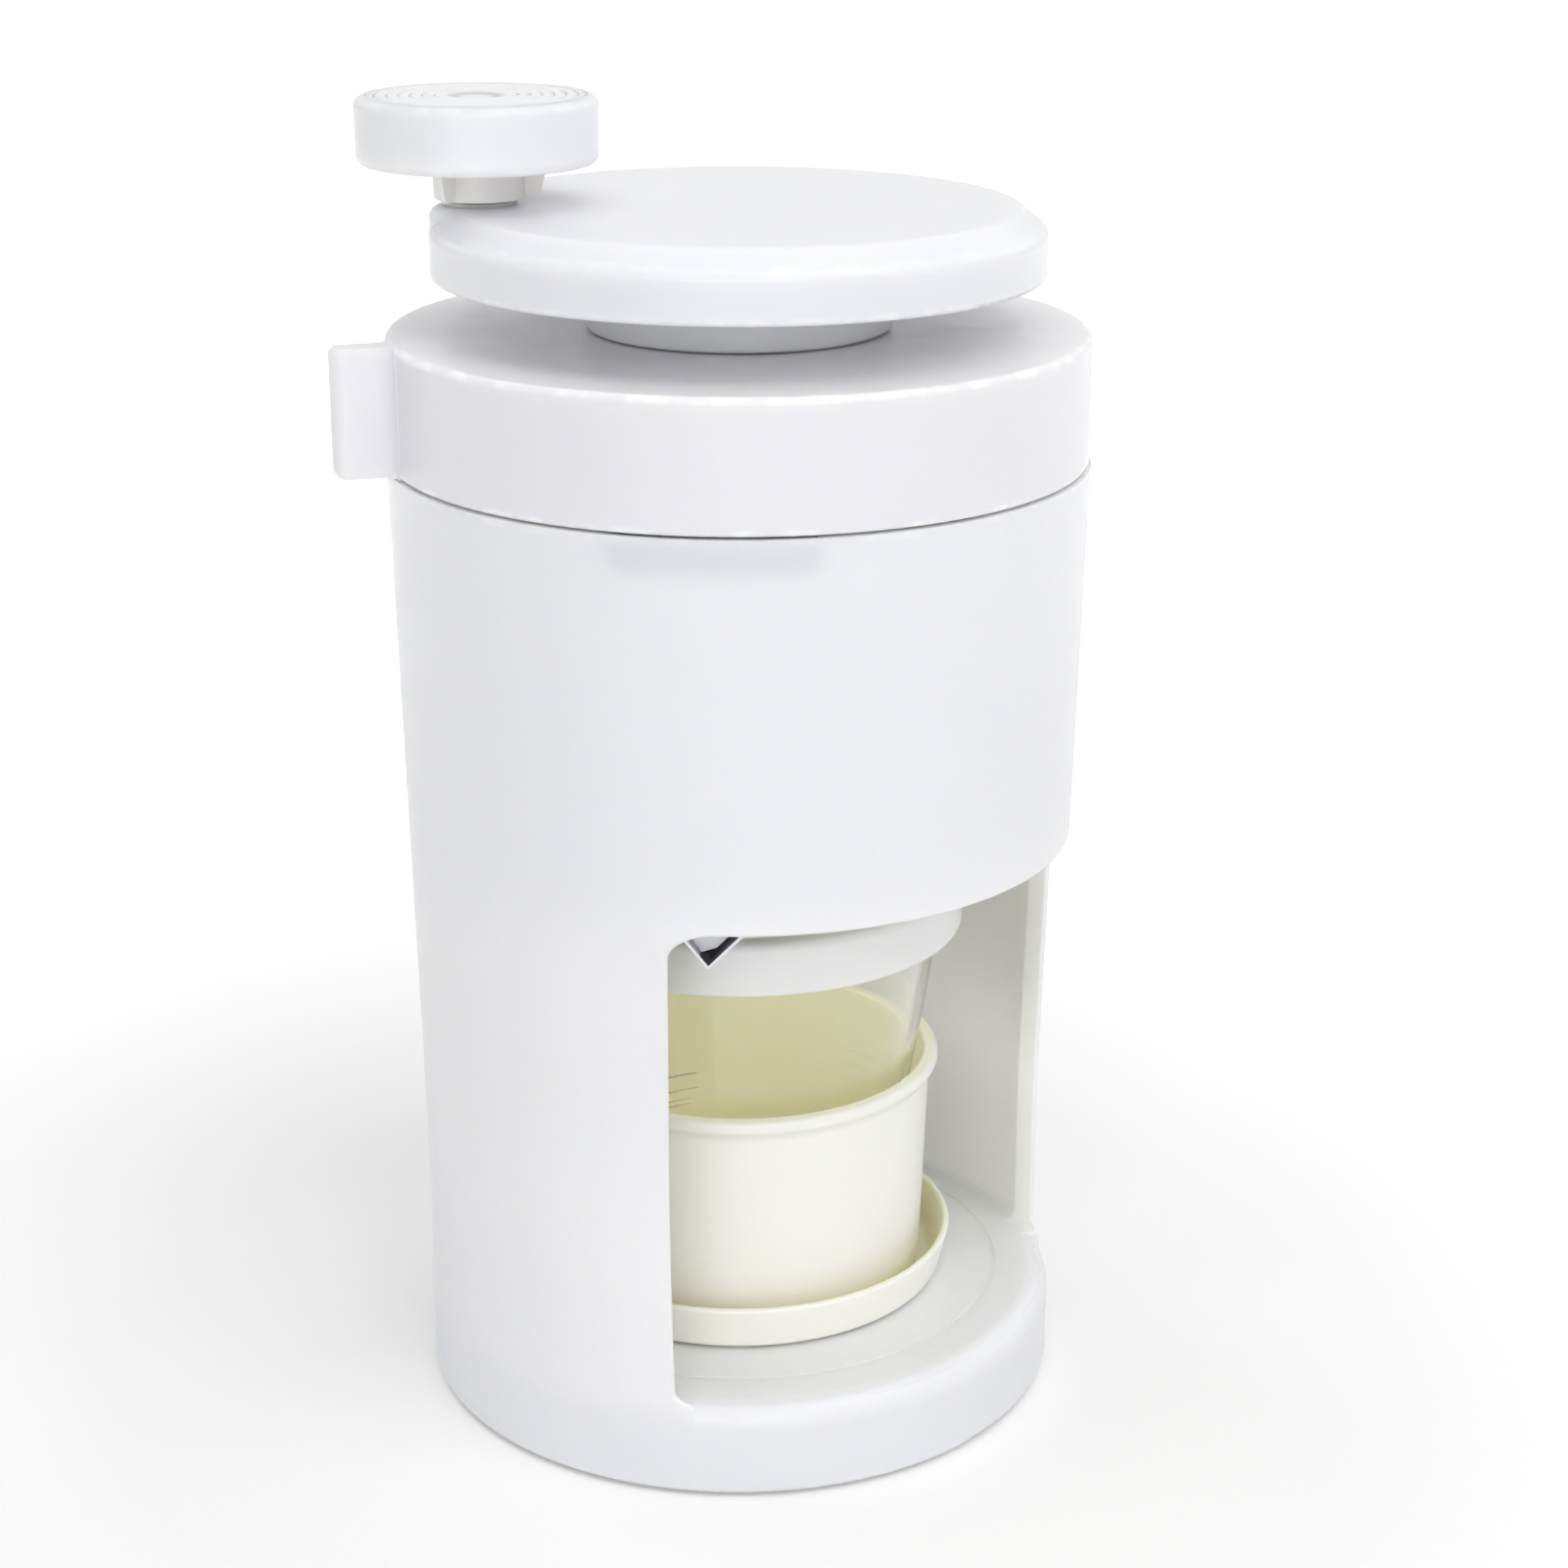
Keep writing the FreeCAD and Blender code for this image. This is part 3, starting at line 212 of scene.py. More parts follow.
def makeCupLamp(setup):
    # shines straight down, and is itself never seen
    lamp = addLamp("cupLamp", "DISK", setup["across"] * mm, setup["watts"])
    lamp.data.spread = math.radians(setup["spread"])
    lamp.location.z = setup["height"] * mm
    lamp.visible_camera = False
    lamp.visible_glossy = False
    lamp.visible_transmission = False


makeWorld(studio)
makeFloor(studio)
makeSoftboxes(studio)
makeCupLamp(studio["cupLamp"])
print("studio lit")


def finishWith(material, *names):
    for name in names:
        nodes[name].material_slots[0].material = material


def ringOn(node, inset, drop, axis=(0, 0)):
    # a ring on a round piece, this far in from its side and down from its top, in mm
    high = Vector(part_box(node)[1]) / mm
    return (*axis, high.x - axis[0] - inset, high.z - drop)


def distanceToRing(tree, place, ring):
    # metres from a ring (centre x, centre y, radius, height in mm), such as a lid's edge
    centreX, centreY, radius, height = (value * mm for value in ring)
    moved = addNode(tree, "ShaderNodeVectorMath", {
        0: place, 1: (-centreX, -centreY, -height)}, operation="ADD")
    axes = addNode(tree, "ShaderNodeSeparateXYZ", {"Vector": moved})
    flat = addNode(tree, "ShaderNodeCombineXYZ", {"X": axes.outputs["X"], "Y": axes.outputs["Y"]})
    reach = addNode(tree, "ShaderNodeVectorMath", {0: flat}, operation="LENGTH")
    outward = addNode(tree, "ShaderNodeMath", {0: reach, 1: -radius}, operation="ADD")
    pair = addNode(tree, "ShaderNodeCombineXYZ", {"X": outward, "Y": axes.outputs["Z"]})
    return addNode(tree, "ShaderNodeVectorMath", {0: pair}, operation="LENGTH")


def rubAndEdgeHighlightMask(tree, place, spec):
    # 1 on the edges that hands and shelves have rubbed, broken up by noise. There they are rougher and
    # nicked, which is wear, and painted lighter, which is a painted edge highlight
    reach = spec["rubReach"] * mm
    cloud = addNode(tree, "ShaderNodeTexNoise", {
        "Vector": place, "Scale": perMm(spec["rubPatchSize"]), "Detail": 3.0})
    patches = addNode(tree, "ShaderNodeMapRange", {
        "Value": cloud, "From Min": 0.42, "From Max": 0.62}, interpolation_type="SMOOTHSTEP")
    mask = None
    for ring in spec["rings"]:
        near = addNode(tree, "ShaderNodeMapRange", {
            "Value": distanceToRing(tree, place, ring),
            "From Min": reach, "From Max": reach * spec["rubCore"]}, interpolation_type="SMOOTHSTEP")
        if mask is None:
            mask = near
        else:
            mask = addNode(tree, "ShaderNodeMath", {0: mask, 1: near}, operation="MAXIMUM")
    return addNode(tree, "ShaderNodeMath", {0: mask, 1: patches}, operation="MULTIPLY")


def scratchMask(tree, place, spec):
    # 1 on thin scratches, which run along the axis that scratchWay has under 1
    drawn = addNode(tree, "ShaderNodeVectorMath", {0: place, 1: spec["scratchWay"]}, operation="MULTIPLY")
    lines = addNode(tree, "ShaderNodeTexNoise", {
        "Vector": drawn, "Scale": perMm(spec["scratchPitch"]), "Detail": 2.0})
    return addNode(tree, "ShaderNodeMapRange", {
        "Value": lines, "From Min": 0.64, "From Max": 0.74}, interpolation_type="SMOOTHSTEP")


def upwardMask(tree):
    # 1 on faces that look up
    normal = addNode(tree, "ShaderNodeTexCoord").outputs["Normal"]
    upward = addNode(tree, "ShaderNodeSeparateXYZ", {"Vector": normal}).outputs["Z"]
    return addNode(tree, "ShaderNodeMapRange", {
        "Value": upward, "From Min": 0.6, "From Max": 0.9}, interpolation_type="SMOOTHSTEP")


def paintedInsideLightMask(tree, place):
    # 1 where a turned piece's surface faces its own axis or looks straight up; the painted inside light
    # goes there
    normal = addNode(tree, "ShaderNodeTexCoord").outputs["Normal"]
    spot = addNode(tree, "ShaderNodeSeparateXYZ", {"Vector": place})
    outward = addNode(tree, "ShaderNodeCombineXYZ", {"X": spot.outputs["X"], "Y": spot.outputs["Y"]})
    unit = addNode(tree, "ShaderNodeVectorMath", {0: outward}, operation="NORMALIZE")
    facing = addNode(tree, "ShaderNodeVectorMath", {0: unit, 1: normal}, operation="DOT_PRODUCT")
    return addNode(tree, "ShaderNodeMapRange", {
        "Value": facing, "From Min": 0.5, "From Max": -0.3}, interpolation_type="SMOOTHSTEP")


def grooveMask(tree, place, spec):
    # 1 at one depth in the shallow grooves of a top face, fading out above it and below it
    height = addNode(tree, "ShaderNodeSeparateXYZ", {"Vector": place}).outputs["Z"]
    sides = [addNode(tree, "ShaderNodeMapRange", {
        "Value": height, "From Min": (spec["top"] - edge) * mm,
        "From Max": (spec["top"] - spec["greyMost"]) * mm}, interpolation_type="SMOOTHSTEP")
        for edge in (spec["greyFrom"], spec["greyTo"])]
    return addNode(tree, "ShaderNodeMath", {0: sides[0], 1: sides[1]}, operation="MULTIPLY")


def paintedSaucerBounceMask(tree, place, spec):
    # 1 at the foot, where a painted bounce light takes up the colour of what it stands on
    height = addNode(tree, "ShaderNodeSeparateXYZ", {"Vector": place}).outputs["Z"]
    return addNode(tree, "ShaderNodeMapRange", {
        "Value": height, "From Min": spec["bounceTop"] * mm, "From Max": spec["bounceFoot"] * mm},
        interpolation_type="SMOOTHSTEP")


def polishMask(tree, place, spec):
    # 1 on faces that look up, from polishTop down
    height = addNode(tree, "ShaderNodeSeparateXYZ", {"Vector": place}).outputs["Z"]
    below = addNode(tree, "ShaderNodeMapRange", {
        "Value": height, "From Min": (spec["polishTop"] + spec["polishFade"]) * mm,
        "From Max": spec["polishTop"] * mm}, interpolation_type="SMOOTHSTEP")
    return addNode(tree, "ShaderNodeMath", {0: below, 1: upwardMask(tree)}, operation="MULTIPLY")


def plasticTone(tree, place, rubAndHighlight, spec):
    cloud = addNode(tree, "ShaderNodeTexNoise", {
        "Vector": place, "Scale": perMm(spec["cloudSize"]), "Detail": 2.0})
    speck = addNode(tree, "ShaderNodeTexVoronoi", {
        "Vector": place, "Scale": perMm(spec["speckSpacing"])})
    speckEdge = spec["speckSize"] / spec["speckSpacing"] / 2
    speckMask = addNode(tree, "ShaderNodeMapRange", {
        "Value": speck, "From Min": speckEdge, "From Max": speckEdge * spec["speckCore"]},
        interpolation_type="SMOOTHSTEP")
    # each layer lies over the one before it
    layers = [(cloud, "cloudTone")]
    # painted light: inside faces take a lighter, warmer tone
    if "paintedInsideLightTone" in spec:
        layers.append((paintedInsideLightMask(tree, place), "paintedInsideLightTone"))
    if "grooveGreyTone" in spec:
        layers.append((grooveMask(tree, place, spec), "grooveGreyTone"))
    # painted bounce light: the foot takes the colour of what it stands on
    if "paintedSaucerBounceTone" in spec:
        layers.append((paintedSaucerBounceMask(tree, place, spec), "paintedSaucerBounceTone"))
    layers.append((speckMask, "speckTone"))
    # painted highlight: rubbed edges take a lighter tone
    if rubAndHighlight:
        layers.append((rubAndHighlight, "rubbedEdgeHighlightTone"))
    tone = linearTone(spec["tone"])
    for mask, layer in layers:
        tone = addNode(tree, "ShaderNodeMix", {
            "Factor": mask, "A": tone, "B": linearTone(spec[layer])}, data_type="RGBA")
    return tone


def plasticRoughness(tree, place, rubAndHighlight, scratch, spec):
    sheen = addNode(tree, "ShaderNodeTexNoise", {
        "Vector": place, "Scale": perMm(spec["sheenSize"]), "Detail": 4.0})
    rough = addNode(tree, "ShaderNodeMapRange", {
        "Value": sheen, "From Min": 0.3, "From Max": 0.7,
        "To Min": spec["roughness"] - spec["roughSpread"],
        "To Max": spec["roughness"] + spec["roughSpread"]}, interpolation_type="SMOOTHSTEP")
    changes = []
    if "polishTop" in spec:
        changes.append((polishMask(tree, place, spec), spec["polishRoughness"] - spec["roughness"]))
    if rubAndHighlight:
        changes.append((rubAndHighlight, spec["rubRoughness"]))
    if scratch:
        changes.append((scratch, spec["scratchRoughness"]))
    for mask, change in changes:
        rough = addNode(tree, "ShaderNodeMath", {0: mask, 1: change, 2: rough}, operation="MULTIPLY_ADD")
    return rough


def plasticRelief(tree, place, rubAndHighlight, scratch, spec):
    wave = addNode(tree, "ShaderNodeTexNoise", {
        "Vector": place, "Scale": perMm(spec["waveSize"]), "Detail": 0.0})
    peel = addNode(tree, "ShaderNodeTexNoise", {
        "Vector": place, "Scale": perMm(spec["peelSize"]), "Detail": 1.0})
    layers = [(wave, spec["waveHeight"]), (peel, spec["peelHeight"])]
    if rubAndHighlight:
        dents = addNode(tree, "ShaderNodeTexNoise", {
            "Vector": place, "Scale": perMm(spec["nickSize"]), "Detail": 3.0})
        nicks = addNode(tree, "ShaderNodeMath", {0: rubAndHighlight, 1: dents}, operation="MULTIPLY")
        layers.append((nicks, spec["rubDepth"]))
    if scratch:
        layers.append((scratch, -spec["scratchDepth"]))
    relief = None
    for shape, depth in layers:
        inputs = {"Height": shape, "Distance": depth * mm, "Strength": 1.0}
        if relief:
            inputs["Normal"] = relief
        relief = addNode(tree, "ShaderNodeBump", inputs)
    return relief


# Moulded thermoplastic. The polished tool leaves a soft sheen with a faint orange peel, the thick
# wall a slow wave, and light sinks in a few millimetres, so that shaded hollows look warm and soft
def mouldedPlastic(name, spec):
    material, tree = newMaterial(name)
    place = addNode(tree, "ShaderNodeTexCoord").outputs["Object"]
    rubAndHighlight = rubAndEdgeHighlightMask(tree, place, spec) if "rings" in spec else None
    scratch = scratchMask(tree, place, spec) if "scratchWay" in spec else None
    skin = addNode(tree, "ShaderNodeBsdfPrincipled", {
        "Base Color": plasticTone(tree, place, rubAndHighlight, spec),
        "Roughness": plasticRoughness(tree, place, rubAndHighlight, scratch, spec),
        "Normal": plasticRelief(tree, place, rubAndHighlight, scratch, spec),
        "IOR": spec["ior"], "Subsurface Weight": spec["depthWeight"],
        "Subsurface Radius": spec["depthRadius"], "Subsurface Scale": spec["depthScale"] * mm})
    addNode(tree, "ShaderNodeOutputMaterial", {"Surface": skin})
    return material


# ABS: cool white under a soft satin gloss; a few dark specks of dust are moulded in.
# Sizes, heights and depths are in mm
whiteAbs = {
    "tone": "#F3F3F6", "cloudTone": "#F1F1F4", "cloudSize": 45,
    "speckTone": "#A9A9AB", "speckSpacing": 24, "speckSize": 0.5, "speckCore": 0.6,
    "roughness": 0.34, "roughSpread": 0.04, "sheenSize": 9,
    "peelSize": 1.1, "peelHeight": 0.004, "waveSize": 38, "waveHeight": 0.03,
    "ior": 1.54, "depthWeight": 0.8, "depthRadius": (1.0, 0.94, 0.8), "depthScale": 5.5,
    # rubbed edges: rougher and nicked from wear, and painted lighter as a painted edge highlight
    "rubbedEdgeHighlightTone": "#F9F9F9", "rubReach": 1.6, "rubCore": 0.25, "rubPatchSize": 6.0,
    "rubRoughness": 0.12, "rubDepth": 0.02, "nickSize": 0.9,
    "scratchPitch": 0.5, "scratchDepth": 0.006, "scratchRoughness": 0.12,
}

# The cup stands on a floor that was polished further than the walls. Inside faces are painted whiter, a
# painted light that lifts the shade in the bay
bodyFinish = dict(whiteAbs, paintedInsideLightTone="#FEFEF9", polishTop=18.6, polishFade=1.0, polishRoughness=0.19,
                  rings=[ringOn("housing", inset=0, drop=0), ringOn("housing", inset=3.3, drop=175.5)])
finishWith(mouldedPlastic("satinMouldedAbsBody", bodyFinish), "housing")

# painted shade: the lid is the body's ABS painted a little darker
lidFinish = dict(whiteAbs, tone="#EAEAEE", cloudTone="#E8E8EC", depthScale=2.0,
                 rings=[ringOn("lid", inset=0, drop=0), ringOn("lid", inset=0, drop=22.5)])
finishWith(mouldedPlastic("satinMouldedAbsLid", lidFinish), "lid")

# painted shade: the disc is the body's ABS painted a shade darker
discRings = [ringOn("crank_disc", inset=0, drop=11.8), ringOn("crank_disc", inset=1.8, drop=3.8)]
discFinish = dict(whiteAbs, tone="#F0F0F4", cloudTone="#EEEEF2", rings=discRings)
finishWith(mouldedPlastic("satinMouldedAbsDisc", discFinish), "crank_disc")
# painted light: the neck, shaded by the disc above it, is painted almost pure white
neckFinish = dict(whiteAbs, tone="#FEFEFD", cloudTone="#FBFBFA")
finishWith(mouldedPlastic("satinMouldedAbsNeck", neckFinish), "crank_base")

knobMiddle = (Vector(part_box("knob")[0]) + Vector(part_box("knob")[1])) / 2 / mm
knobRings = [ringOn("knob", inset=0.4, drop=drop, axis=knobMiddle.xy) for drop in (0.4, 11.3)]
knobFinish = dict(whiteAbs, rings=knobRings)
finishWith(mouldedPlastic("satinMouldedAbsKnob", knobFinish), "knob")
# Its ring grooves are painted a little grey, at these depths below its top in mm
capFinish = dict(whiteAbs, top=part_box("knob_cap")[1][2] / mm, grooveGreyTone="#C4C3C3",
                 greyFrom=0.1, greyMost=0.32, greyTo=0.46)
finishWith(mouldedPlastic("satinMouldedAbsCap", capFinish), "knob_cap")
# painted shade: the hub, shaded by the knob above it, is painted a warm grey
hubFinish = dict(whiteAbs, tone="#EFEDE9", cloudTone="#ECEAE6", depthScale=1.0)
finishWith(mouldedPlastic("satinMouldedAbsHub", hubFinish), "knob_hub")

# Polypropylene: a little waxier and more matt than ABS
whitePp = dict(whiteAbs, tone="#F3F3F2", cloudTone="#F0F0EF", roughness=0.36, ior=1.49)
finishWith(mouldedPlastic("mouldedWhitePolypropylene", whitePp),
           "blade_holder", "presser_plate", "cup_collar")
# Spark eroded undersides; the real grain is 0.2 mm across and drawn at 0.6 mm so that it shows
grainedPp = dict(whitePp, roughness=0.5, peelSize=0.6, peelHeight=0.02)
finishWith(mouldedPlastic("grainedWhitePolypropylene", grainedPp), "base_plate", "lid_inner_plate")
# The chamber's wall is scratched up and down by ice
chamberFinish = dict(whitePp, scratchWay=(1, 1, 0.03))
finishWith(mouldedPlastic("scratchedWhitePolypropylene", chamberFinish), "ice_chamber")

# Natural acetal, turned: a bone white bearing plastic with a slippery sheen
acetal = dict(whitePp, tone="#EFEFE9", cloudTone="#EBEBE4", roughness=0.33, ior=1.48,
              peelSize=0.6, peelHeight=0.006)
finishWith(mouldedPlastic("turnedAcetal", acetal), "lid_bush", "knob_spacer")

# Cream polypropylene with thin walls. Its inside faces are painted yellower, a painted warm light that
# stands in for light passing from wall to wall.
# The sleeve's foot is painted in the saucer's colour, a painted bounce light from the saucer
creamPp = dict(whitePp, tone="#FBFAF2", cloudTone="#F9F8EF", paintedInsideLightTone="#FEF7DB",
               speckSize=0.3, roughness=0.38, depthRadius=(1.0, 0.97, 0.9), depthScale=0.9)
sleeveFinish = dict(creamPp, paintedSaucerBounceTone="#F8F1C6", bounceTop=26, bounceFoot=19.5)
finishWith(mouldedPlastic("mouldedCreamPolypropyleneSleeve", sleeveFinish), "cup_sleeve")
finishWith(mouldedPlastic("mouldedCreamPolypropyleneSaucer", creamPp), "saucer")
print("plastics finished")


# Styrene acrylonitrile, moulded clear: a bright rim, a faint straw tint in its thickness.
# Light that falls through it or has bounced on something matt passes straight
def clearPlastic(name, spec):
    material, tree = newMaterial(name)
    place = addNode(tree, "ShaderNodeTexCoord").outputs["Object"]
    flow = addNode(tree, "ShaderNodeTexNoise", {
        "Vector": place, "Scale": perMm(spec["flowSize"]), "Detail": 1.0})
    relief = addNode(tree, "ShaderNodeBump", {
        "Height": flow, "Distance": spec["flowHeight"] * mm, "Strength": 1.0})
    sheen = addNode(tree, "ShaderNodeTexNoise", {
        "Vector": place, "Scale": perMm(spec["sheenSize"]), "Detail": 3.0})
    rough = addNode(tree, "ShaderNodeMapRange", {
        "Value": sheen, "From Min": 0.35, "From Max": 0.7, "To Min": spec["roughness"],
        "To Max": spec["roughness"] + spec["roughSpread"]}, interpolation_type="SMOOTHSTEP")
    skin = addNode(tree, "ShaderNodeBsdfPrincipled", {
        "Base Color": linearTone(spec["tone"]), "Roughness": rough, "Normal": relief,
        "IOR": spec["ior"], "Transmission Weight": 1.0})
    clear = addNode(tree, "ShaderNodeBsdfTransparent", {"Color": linearTone(spec["shadowTone"])})
    path = addNode(tree, "ShaderNodeLightPath")
    passing = addNode(tree, "ShaderNodeMath", {
        0: path.outputs["Is Shadow Ray"], 1: path.outputs["Is Diffuse Ray"]}, operation="MAXIMUM")
    mix = addNode(tree, "ShaderNodeMixShader", {0: passing, 1: skin, 2: clear})
    addNode(tree, "ShaderNodeOutputMaterial", {"Surface": mix})
    return material


def roundedOutline(corners, arcSteps, hold):
    # corners are (x, z, rounding); each rounding becomes an arc, with a point this far
    # off each end that keeps the straight stretch next to it optically true
    points = []
    for i, (x, z, rounding) in enumerate(corners):
        corner = Vector((x, z))
        if not rounding:
            points.append(corner)
            continue
        back = (Vector(corners[i - 1][:2]) - corner).normalized()
        ahead = (Vector(corners[(i + 1) % len(corners)][:2]) - corner).normalized()
        half = back.angle(ahead) / 2
        centre = corner + (back + ahead).normalized() * rounding / math.sin(half)
        setback = rounding / math.tan(half)
        start = corner + back * setback - centre
        end = corner + ahead * setback - centre
        sweep = start.angle_signed(end)
        points.append(corner + back * (setback + hold))
        for step in range(arcSteps + 1):
            points.append(centre + Matrix.Rotation(-sweep * step / arcSteps, 2) @ start)
        points.append(corner + ahead * (setback + hold))
    return points


def joinRings(shape, rings):
    # faces from each ring of corners to the next; a ring may be one point on the axis
    for low, high in zip(rings, rings[1:]):
        count = max(len(low), len(high))
        for step in range(count):
            after = (step + 1) % count
            if len(low) == 1:
                shape.faces.new((low[0], high[after], high[step]))
            elif len(high) == 1:
                shape.faces.new((low[step], low[after], high[0]))
            else:
                shape.faces.new((low[step], low[after], high[after], high[step]))


def pieceFrom(shape, name, material):
    # ends the mesh work and puts the piece in the scene
    bmesh.ops.recalc_face_normals(shape, faces=shape.faces)
    mesh = bpy.data.meshes.new(name)
    shape.to_mesh(mesh)
    shape.free()
    mesh.shade_smooth()
    mesh.materials.append(material)
    piece = bpy.data.objects.new(name, mesh)
    bpy.context.scene.collection.objects.link(piece)
    return piece


# The clear cup takes its height and rim from its node. Its foot is a ring, and raised
# lines on the wall mark the portions. Sizes are in mm, angles in degrees
clearCup = {
    "tone": "#FEFEFB", "shadowTone": "#FDFDFA", "ior": 1.57,
    "roughness": 0.01, "roughSpread": 0.03, "sheenSize": 12, "flowSize": 14, "flowHeight": 0.03,
    "draft": 9.2, "wall": 1.5, "floor": 3.0,
    "rimRounding": 0.5, "footRounding": 2.5, "floorRounding": 4.0,
    "recess": 0.8, "footRing": 5.0, "recessRounding": 0.4,
    "segments": 288, "arcSteps": 8, "hold": 0.1,
    "markProud": 0.25, "markRamp": 0.15,
    # height, thickness, first and last angle
    "marks": [(43.3, 1.2, 62, 118), (40.5, 0.6, 62, 118), (38.7, 0.35, 66, 114), (37.7, 0.35, 66, 114)],
    "nearly": 0.01,                        # closer than this counts as the same place
}


def cupOutline(spec, low, high, wallRadius):
    slant = spec["wall"] / math.cos(math.radians(spec["draft"]))
    floorZ = low.z + spec["floor"]
    footRadius = wallRadius(low.z)
    recessZ = low.z + spec["recess"]
    markLevels = []
    for middle, thick, first, last in spec["marks"]:
        ramped = thick / 2 + spec["markRamp"]
        for reach in (thick / 2, ramped, ramped + spec["hold"]):
            markLevels += [middle - reach, middle + reach]
    corners = [
        (0, recessZ, 0),
        (footRadius - spec["footRing"] - spec["recess"], recessZ, spec["recessRounding"]),
        (footRadius - spec["footRing"], low.z, spec["recessRounding"]),
        (footRadius, low.z, spec["footRounding"])]
    corners += [(wallRadius(z), z, 0) for z in sorted(markLevels)]
    corners += [
        (high.x, high.z, spec["rimRounding"]),
        (high.x - slant, high.z, spec["rimRounding"]),
        (wallRadius(floorZ) - slant, floorZ, spec["floorRounding"]),
        (0, floorZ, 0)]
    return roundedOutline(corners, spec["arcSteps"], spec["hold"])


def makeCup(spec):
    low, high = (corner / mm for corner in map(Vector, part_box("cup")))
    lean = math.tan(math.radians(spec["draft"]))

    def wallRadius(z):
        return high.x - (high.z - z) * lean

    def swell(angle, x, z):
        # how far a portion mark stands out here
        if abs(x - wallRadius(z)) > spec["nearly"]:
            return 0
        for middle, thick, first, last in spec["marks"]:
            if abs(z - middle) < thick / 2 + spec["nearly"] and first <= angle <= last:
                return spec["markProud"]
        return 0

    shape = bmesh.new()
    rings = []
    for x, z in cupOutline(spec, low, high, wallRadius):
        if x < spec["nearly"]:
            rings.append([shape.verts.new((0, 0, z * mm))])
            continue
        ring = []
        for step in range(spec["segments"]):
            angle = 2 * math.pi * step / spec["segments"]
            radius = (x + swell(math.degrees(angle), x, z)) * mm
            ring.append(shape.verts.new((radius * math.cos(angle), radius * math.sin(angle), z * mm)))
        rings.append(ring)
    joinRings(shape, rings)
    cup = pieceFrom(shape, "clearCup", clearPlastic("mouldedClearStyrene", spec))
    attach(cup, "serving_set")
    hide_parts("cup")


makeCup(clearCup)
print("cup made")


# Stainless steel. The way it was worked gives the lines: rolled strip, turned rings or drawn wire.
# Real lines are about 0.05 mm apart and are drawn 0.3 mm apart so that they show
def workedSteel(name, spec):
    material, tree = newMaterial(name)
    place = addNode(tree, "ShaderNodeTexCoord").outputs["Object"]
    drawn = addNode(tree, "ShaderNodeVectorMath", {0: place, 1: spec["lineWay"]}, operation="MULTIPLY")
    lines = addNode(tree, "ShaderNodeTexNoise", {
        "Vector": drawn, "Scale": perMm(spec["linePitch"]), "Detail": 3.0})
    smear = addNode(tree, "ShaderNodeTexNoise", {
        "Vector": place, "Scale": perMm(spec["smearSize"]), "Detail": 3.0})
    tone = addNode(tree, "ShaderNodeMix", {
        "Factor": smear, "A": linearTone(spec["tone"]), "B": linearTone(spec["cloudTone"])},
        data_type="RGBA")
    rough = addNode(tree, "ShaderNodeMapRange", {
        "Value": lines, "From Min": 0.3, "From Max": 0.7,
        "To Min": spec["roughness"] - spec["roughSpread"],
        "To Max": spec["roughness"] + spec["roughSpread"]}, interpolation_type="SMOOTHSTEP")
    relief = addNode(tree, "ShaderNodeBump", {
        "Height": lines, "Distance": spec["lineDepth"] * mm, "Strength": 1.0})
    skin = addNode(tree, "ShaderNodeBsdfPrincipled", {
        "Base Color": tone, "Roughness": rough, "Metallic": 1.0, "Normal": relief})
    addNode(tree, "ShaderNodeOutputMaterial", {"Surface": skin})
    return material


steel = {
    "tone": "#CFCED4", "cloudTone": "#C6C5CB", "smearSize": 7.0,
    "roughness": 0.36, "roughSpread": 0.07,
    "linePitch": 0.3, "lineWay": (1, 1, 1), "lineDepth": 0.004,
}
# Rolled strip: lines along the blade's length
bladeFinish = dict(steel, lineWay=(1, 1, 12))
finishWith(workedSteel("rolledStainlessStrip", bladeFinish), "blade")
# Turned: rings stacked along the axis
turnedFinish = dict(steel, lineWay=(0.02, 0.02, 1))
finishWith(workedSteel("turnedStainless", turnedFinish), "drive_shaft", "knob_stud", "presser_spikes",
           "spring_seat", "stop_washer", "thrust_washer")
# Tumbled in a barrel: brighter, with no lines of their own
screwFinish = dict(steel, tone="#CFCFD2", cloudTone="#C5C5C9", roughness=0.2)
finishWith(workedSteel("barrelPolishedStainless", screwFinish), "base_screws", "chamber_screws",
           "blade_screws", "lid_plate_screws", "crank_screws", "shaft_screw", "stop_screw", "knob_screw")
print("metals finished")


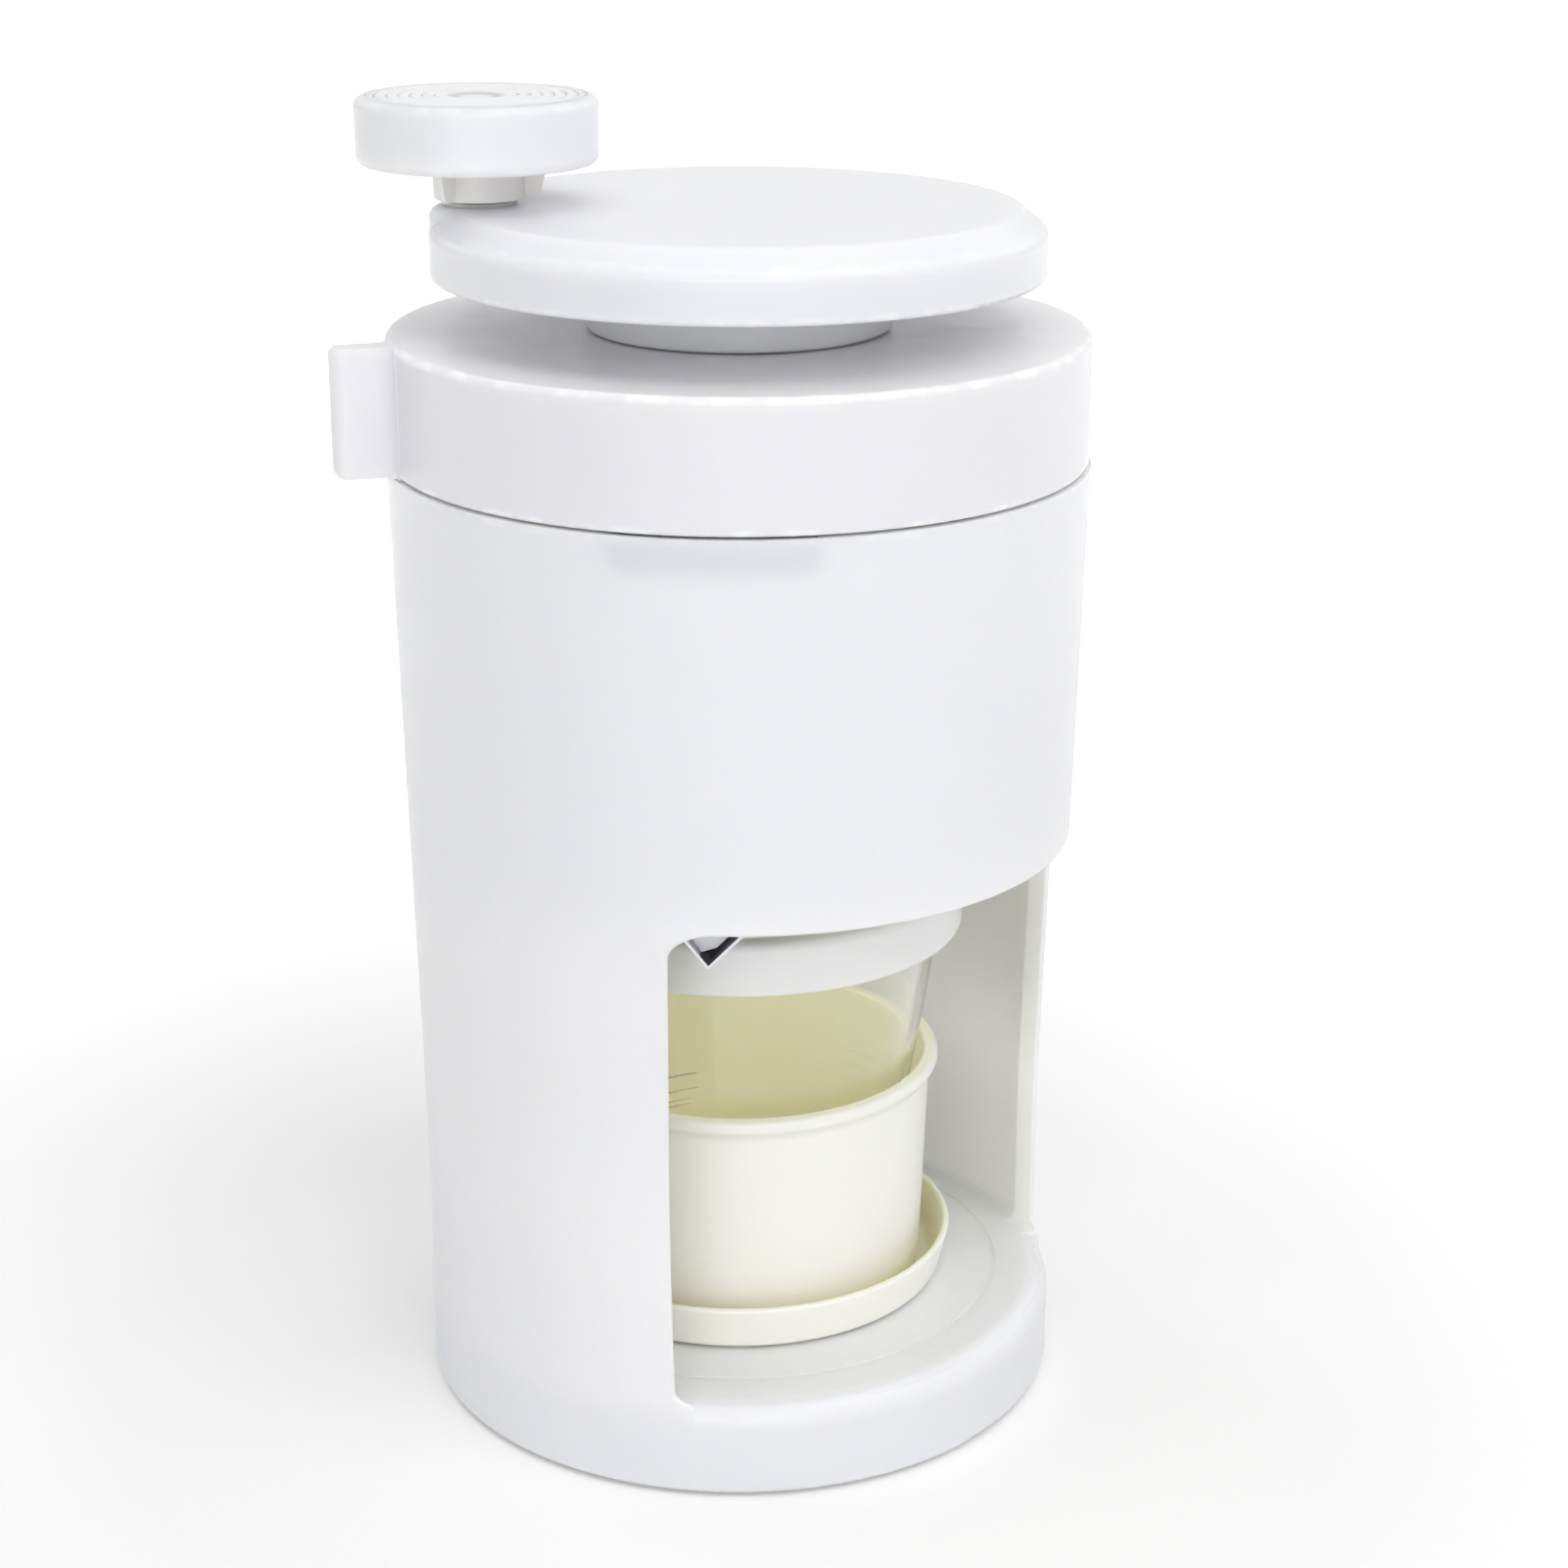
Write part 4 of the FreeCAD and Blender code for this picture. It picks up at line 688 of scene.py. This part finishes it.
# The coil spring over the shaft, built as one rigid coil that rides with the crank; on the machine it is
# pressed flatter as the presser rides up. Its wire is drawn:
# darker than the turned parts, with fine lines. Sizes are in mm
presserSpring = {
    "coilRadius": 13.3, "wire": 1.3, "turns": 7, "stepsPerTurn": 48, "wireSides": 12,
    "seatHeight": 175.2, "joint": "presser_travel",
}
drawnFinish = dict(steel, tone="#AEAEB2", cloudTone="#A2A2A6", lineWay=(0.05, 0.05, 1))


def makeSpring(spec):
    low, high = (corner / mm for corner in map(Vector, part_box("presser_spring")))
    thick = spec["wire"] / 2
    rise = high.z - low.z - spec["wire"]
    steps = spec["turns"] * spec["stepsPerTurn"]
    upward = Vector((0, 0, 1))
    shape = bmesh.new()
    rings = []
    for step in range(steps + 1):
        angle = 2 * math.pi * step / spec["stepsPerTurn"]
        outward = Vector((math.cos(angle), math.sin(angle), 0))
        centre = outward * spec["coilRadius"] + upward * (low.z + thick + rise * step / steps)
        ring = []
        for side in range(spec["wireSides"]):
            turn = 2 * math.pi * side / spec["wireSides"]
            spot = centre + (outward * math.cos(turn) + upward * math.sin(turn)) * thick
            ring.append(shape.verts.new(spot * mm))
        rings.append(ring)
    joinRings(shape, rings)
    shape.faces.new(rings[0])
    shape.faces.new(rings[-1])
    spring = pieceFrom(shape, "coilSpring", workedSteel("drawnSpringWire", drawnFinish))
    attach(spring, "crank")
    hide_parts("presser_spring")
    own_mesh(spring)


makeSpring(presserSpring)
print("spring made")


# Silicone and rubber: matt and soft, with a dusty bloom
siliconeFinish = dict(whiteAbs, tone="#DCDDDC", cloudTone="#D6D7D6", roughness=0.55, ior=1.41,
                      peelSize=0.8, peelHeight=0.006, depthScale=2.0)
finishWith(mouldedPlastic("mouldedSilicone", siliconeFinish), "lid_seal")
footFinish = dict(whiteAbs, tone="#A9A9A8", cloudTone="#9F9F9E", speckTone="#DADADA", speckSpacing=5,
                  speckSize=0.4, roughness=0.72, ior=1.52, peelSize=0.7, peelHeight=0.02,
                  depthWeight=0.0)
finishWith(mouldedPlastic("mouldedRubber", footFinish), "rubber_feet")
print("rubber finished")
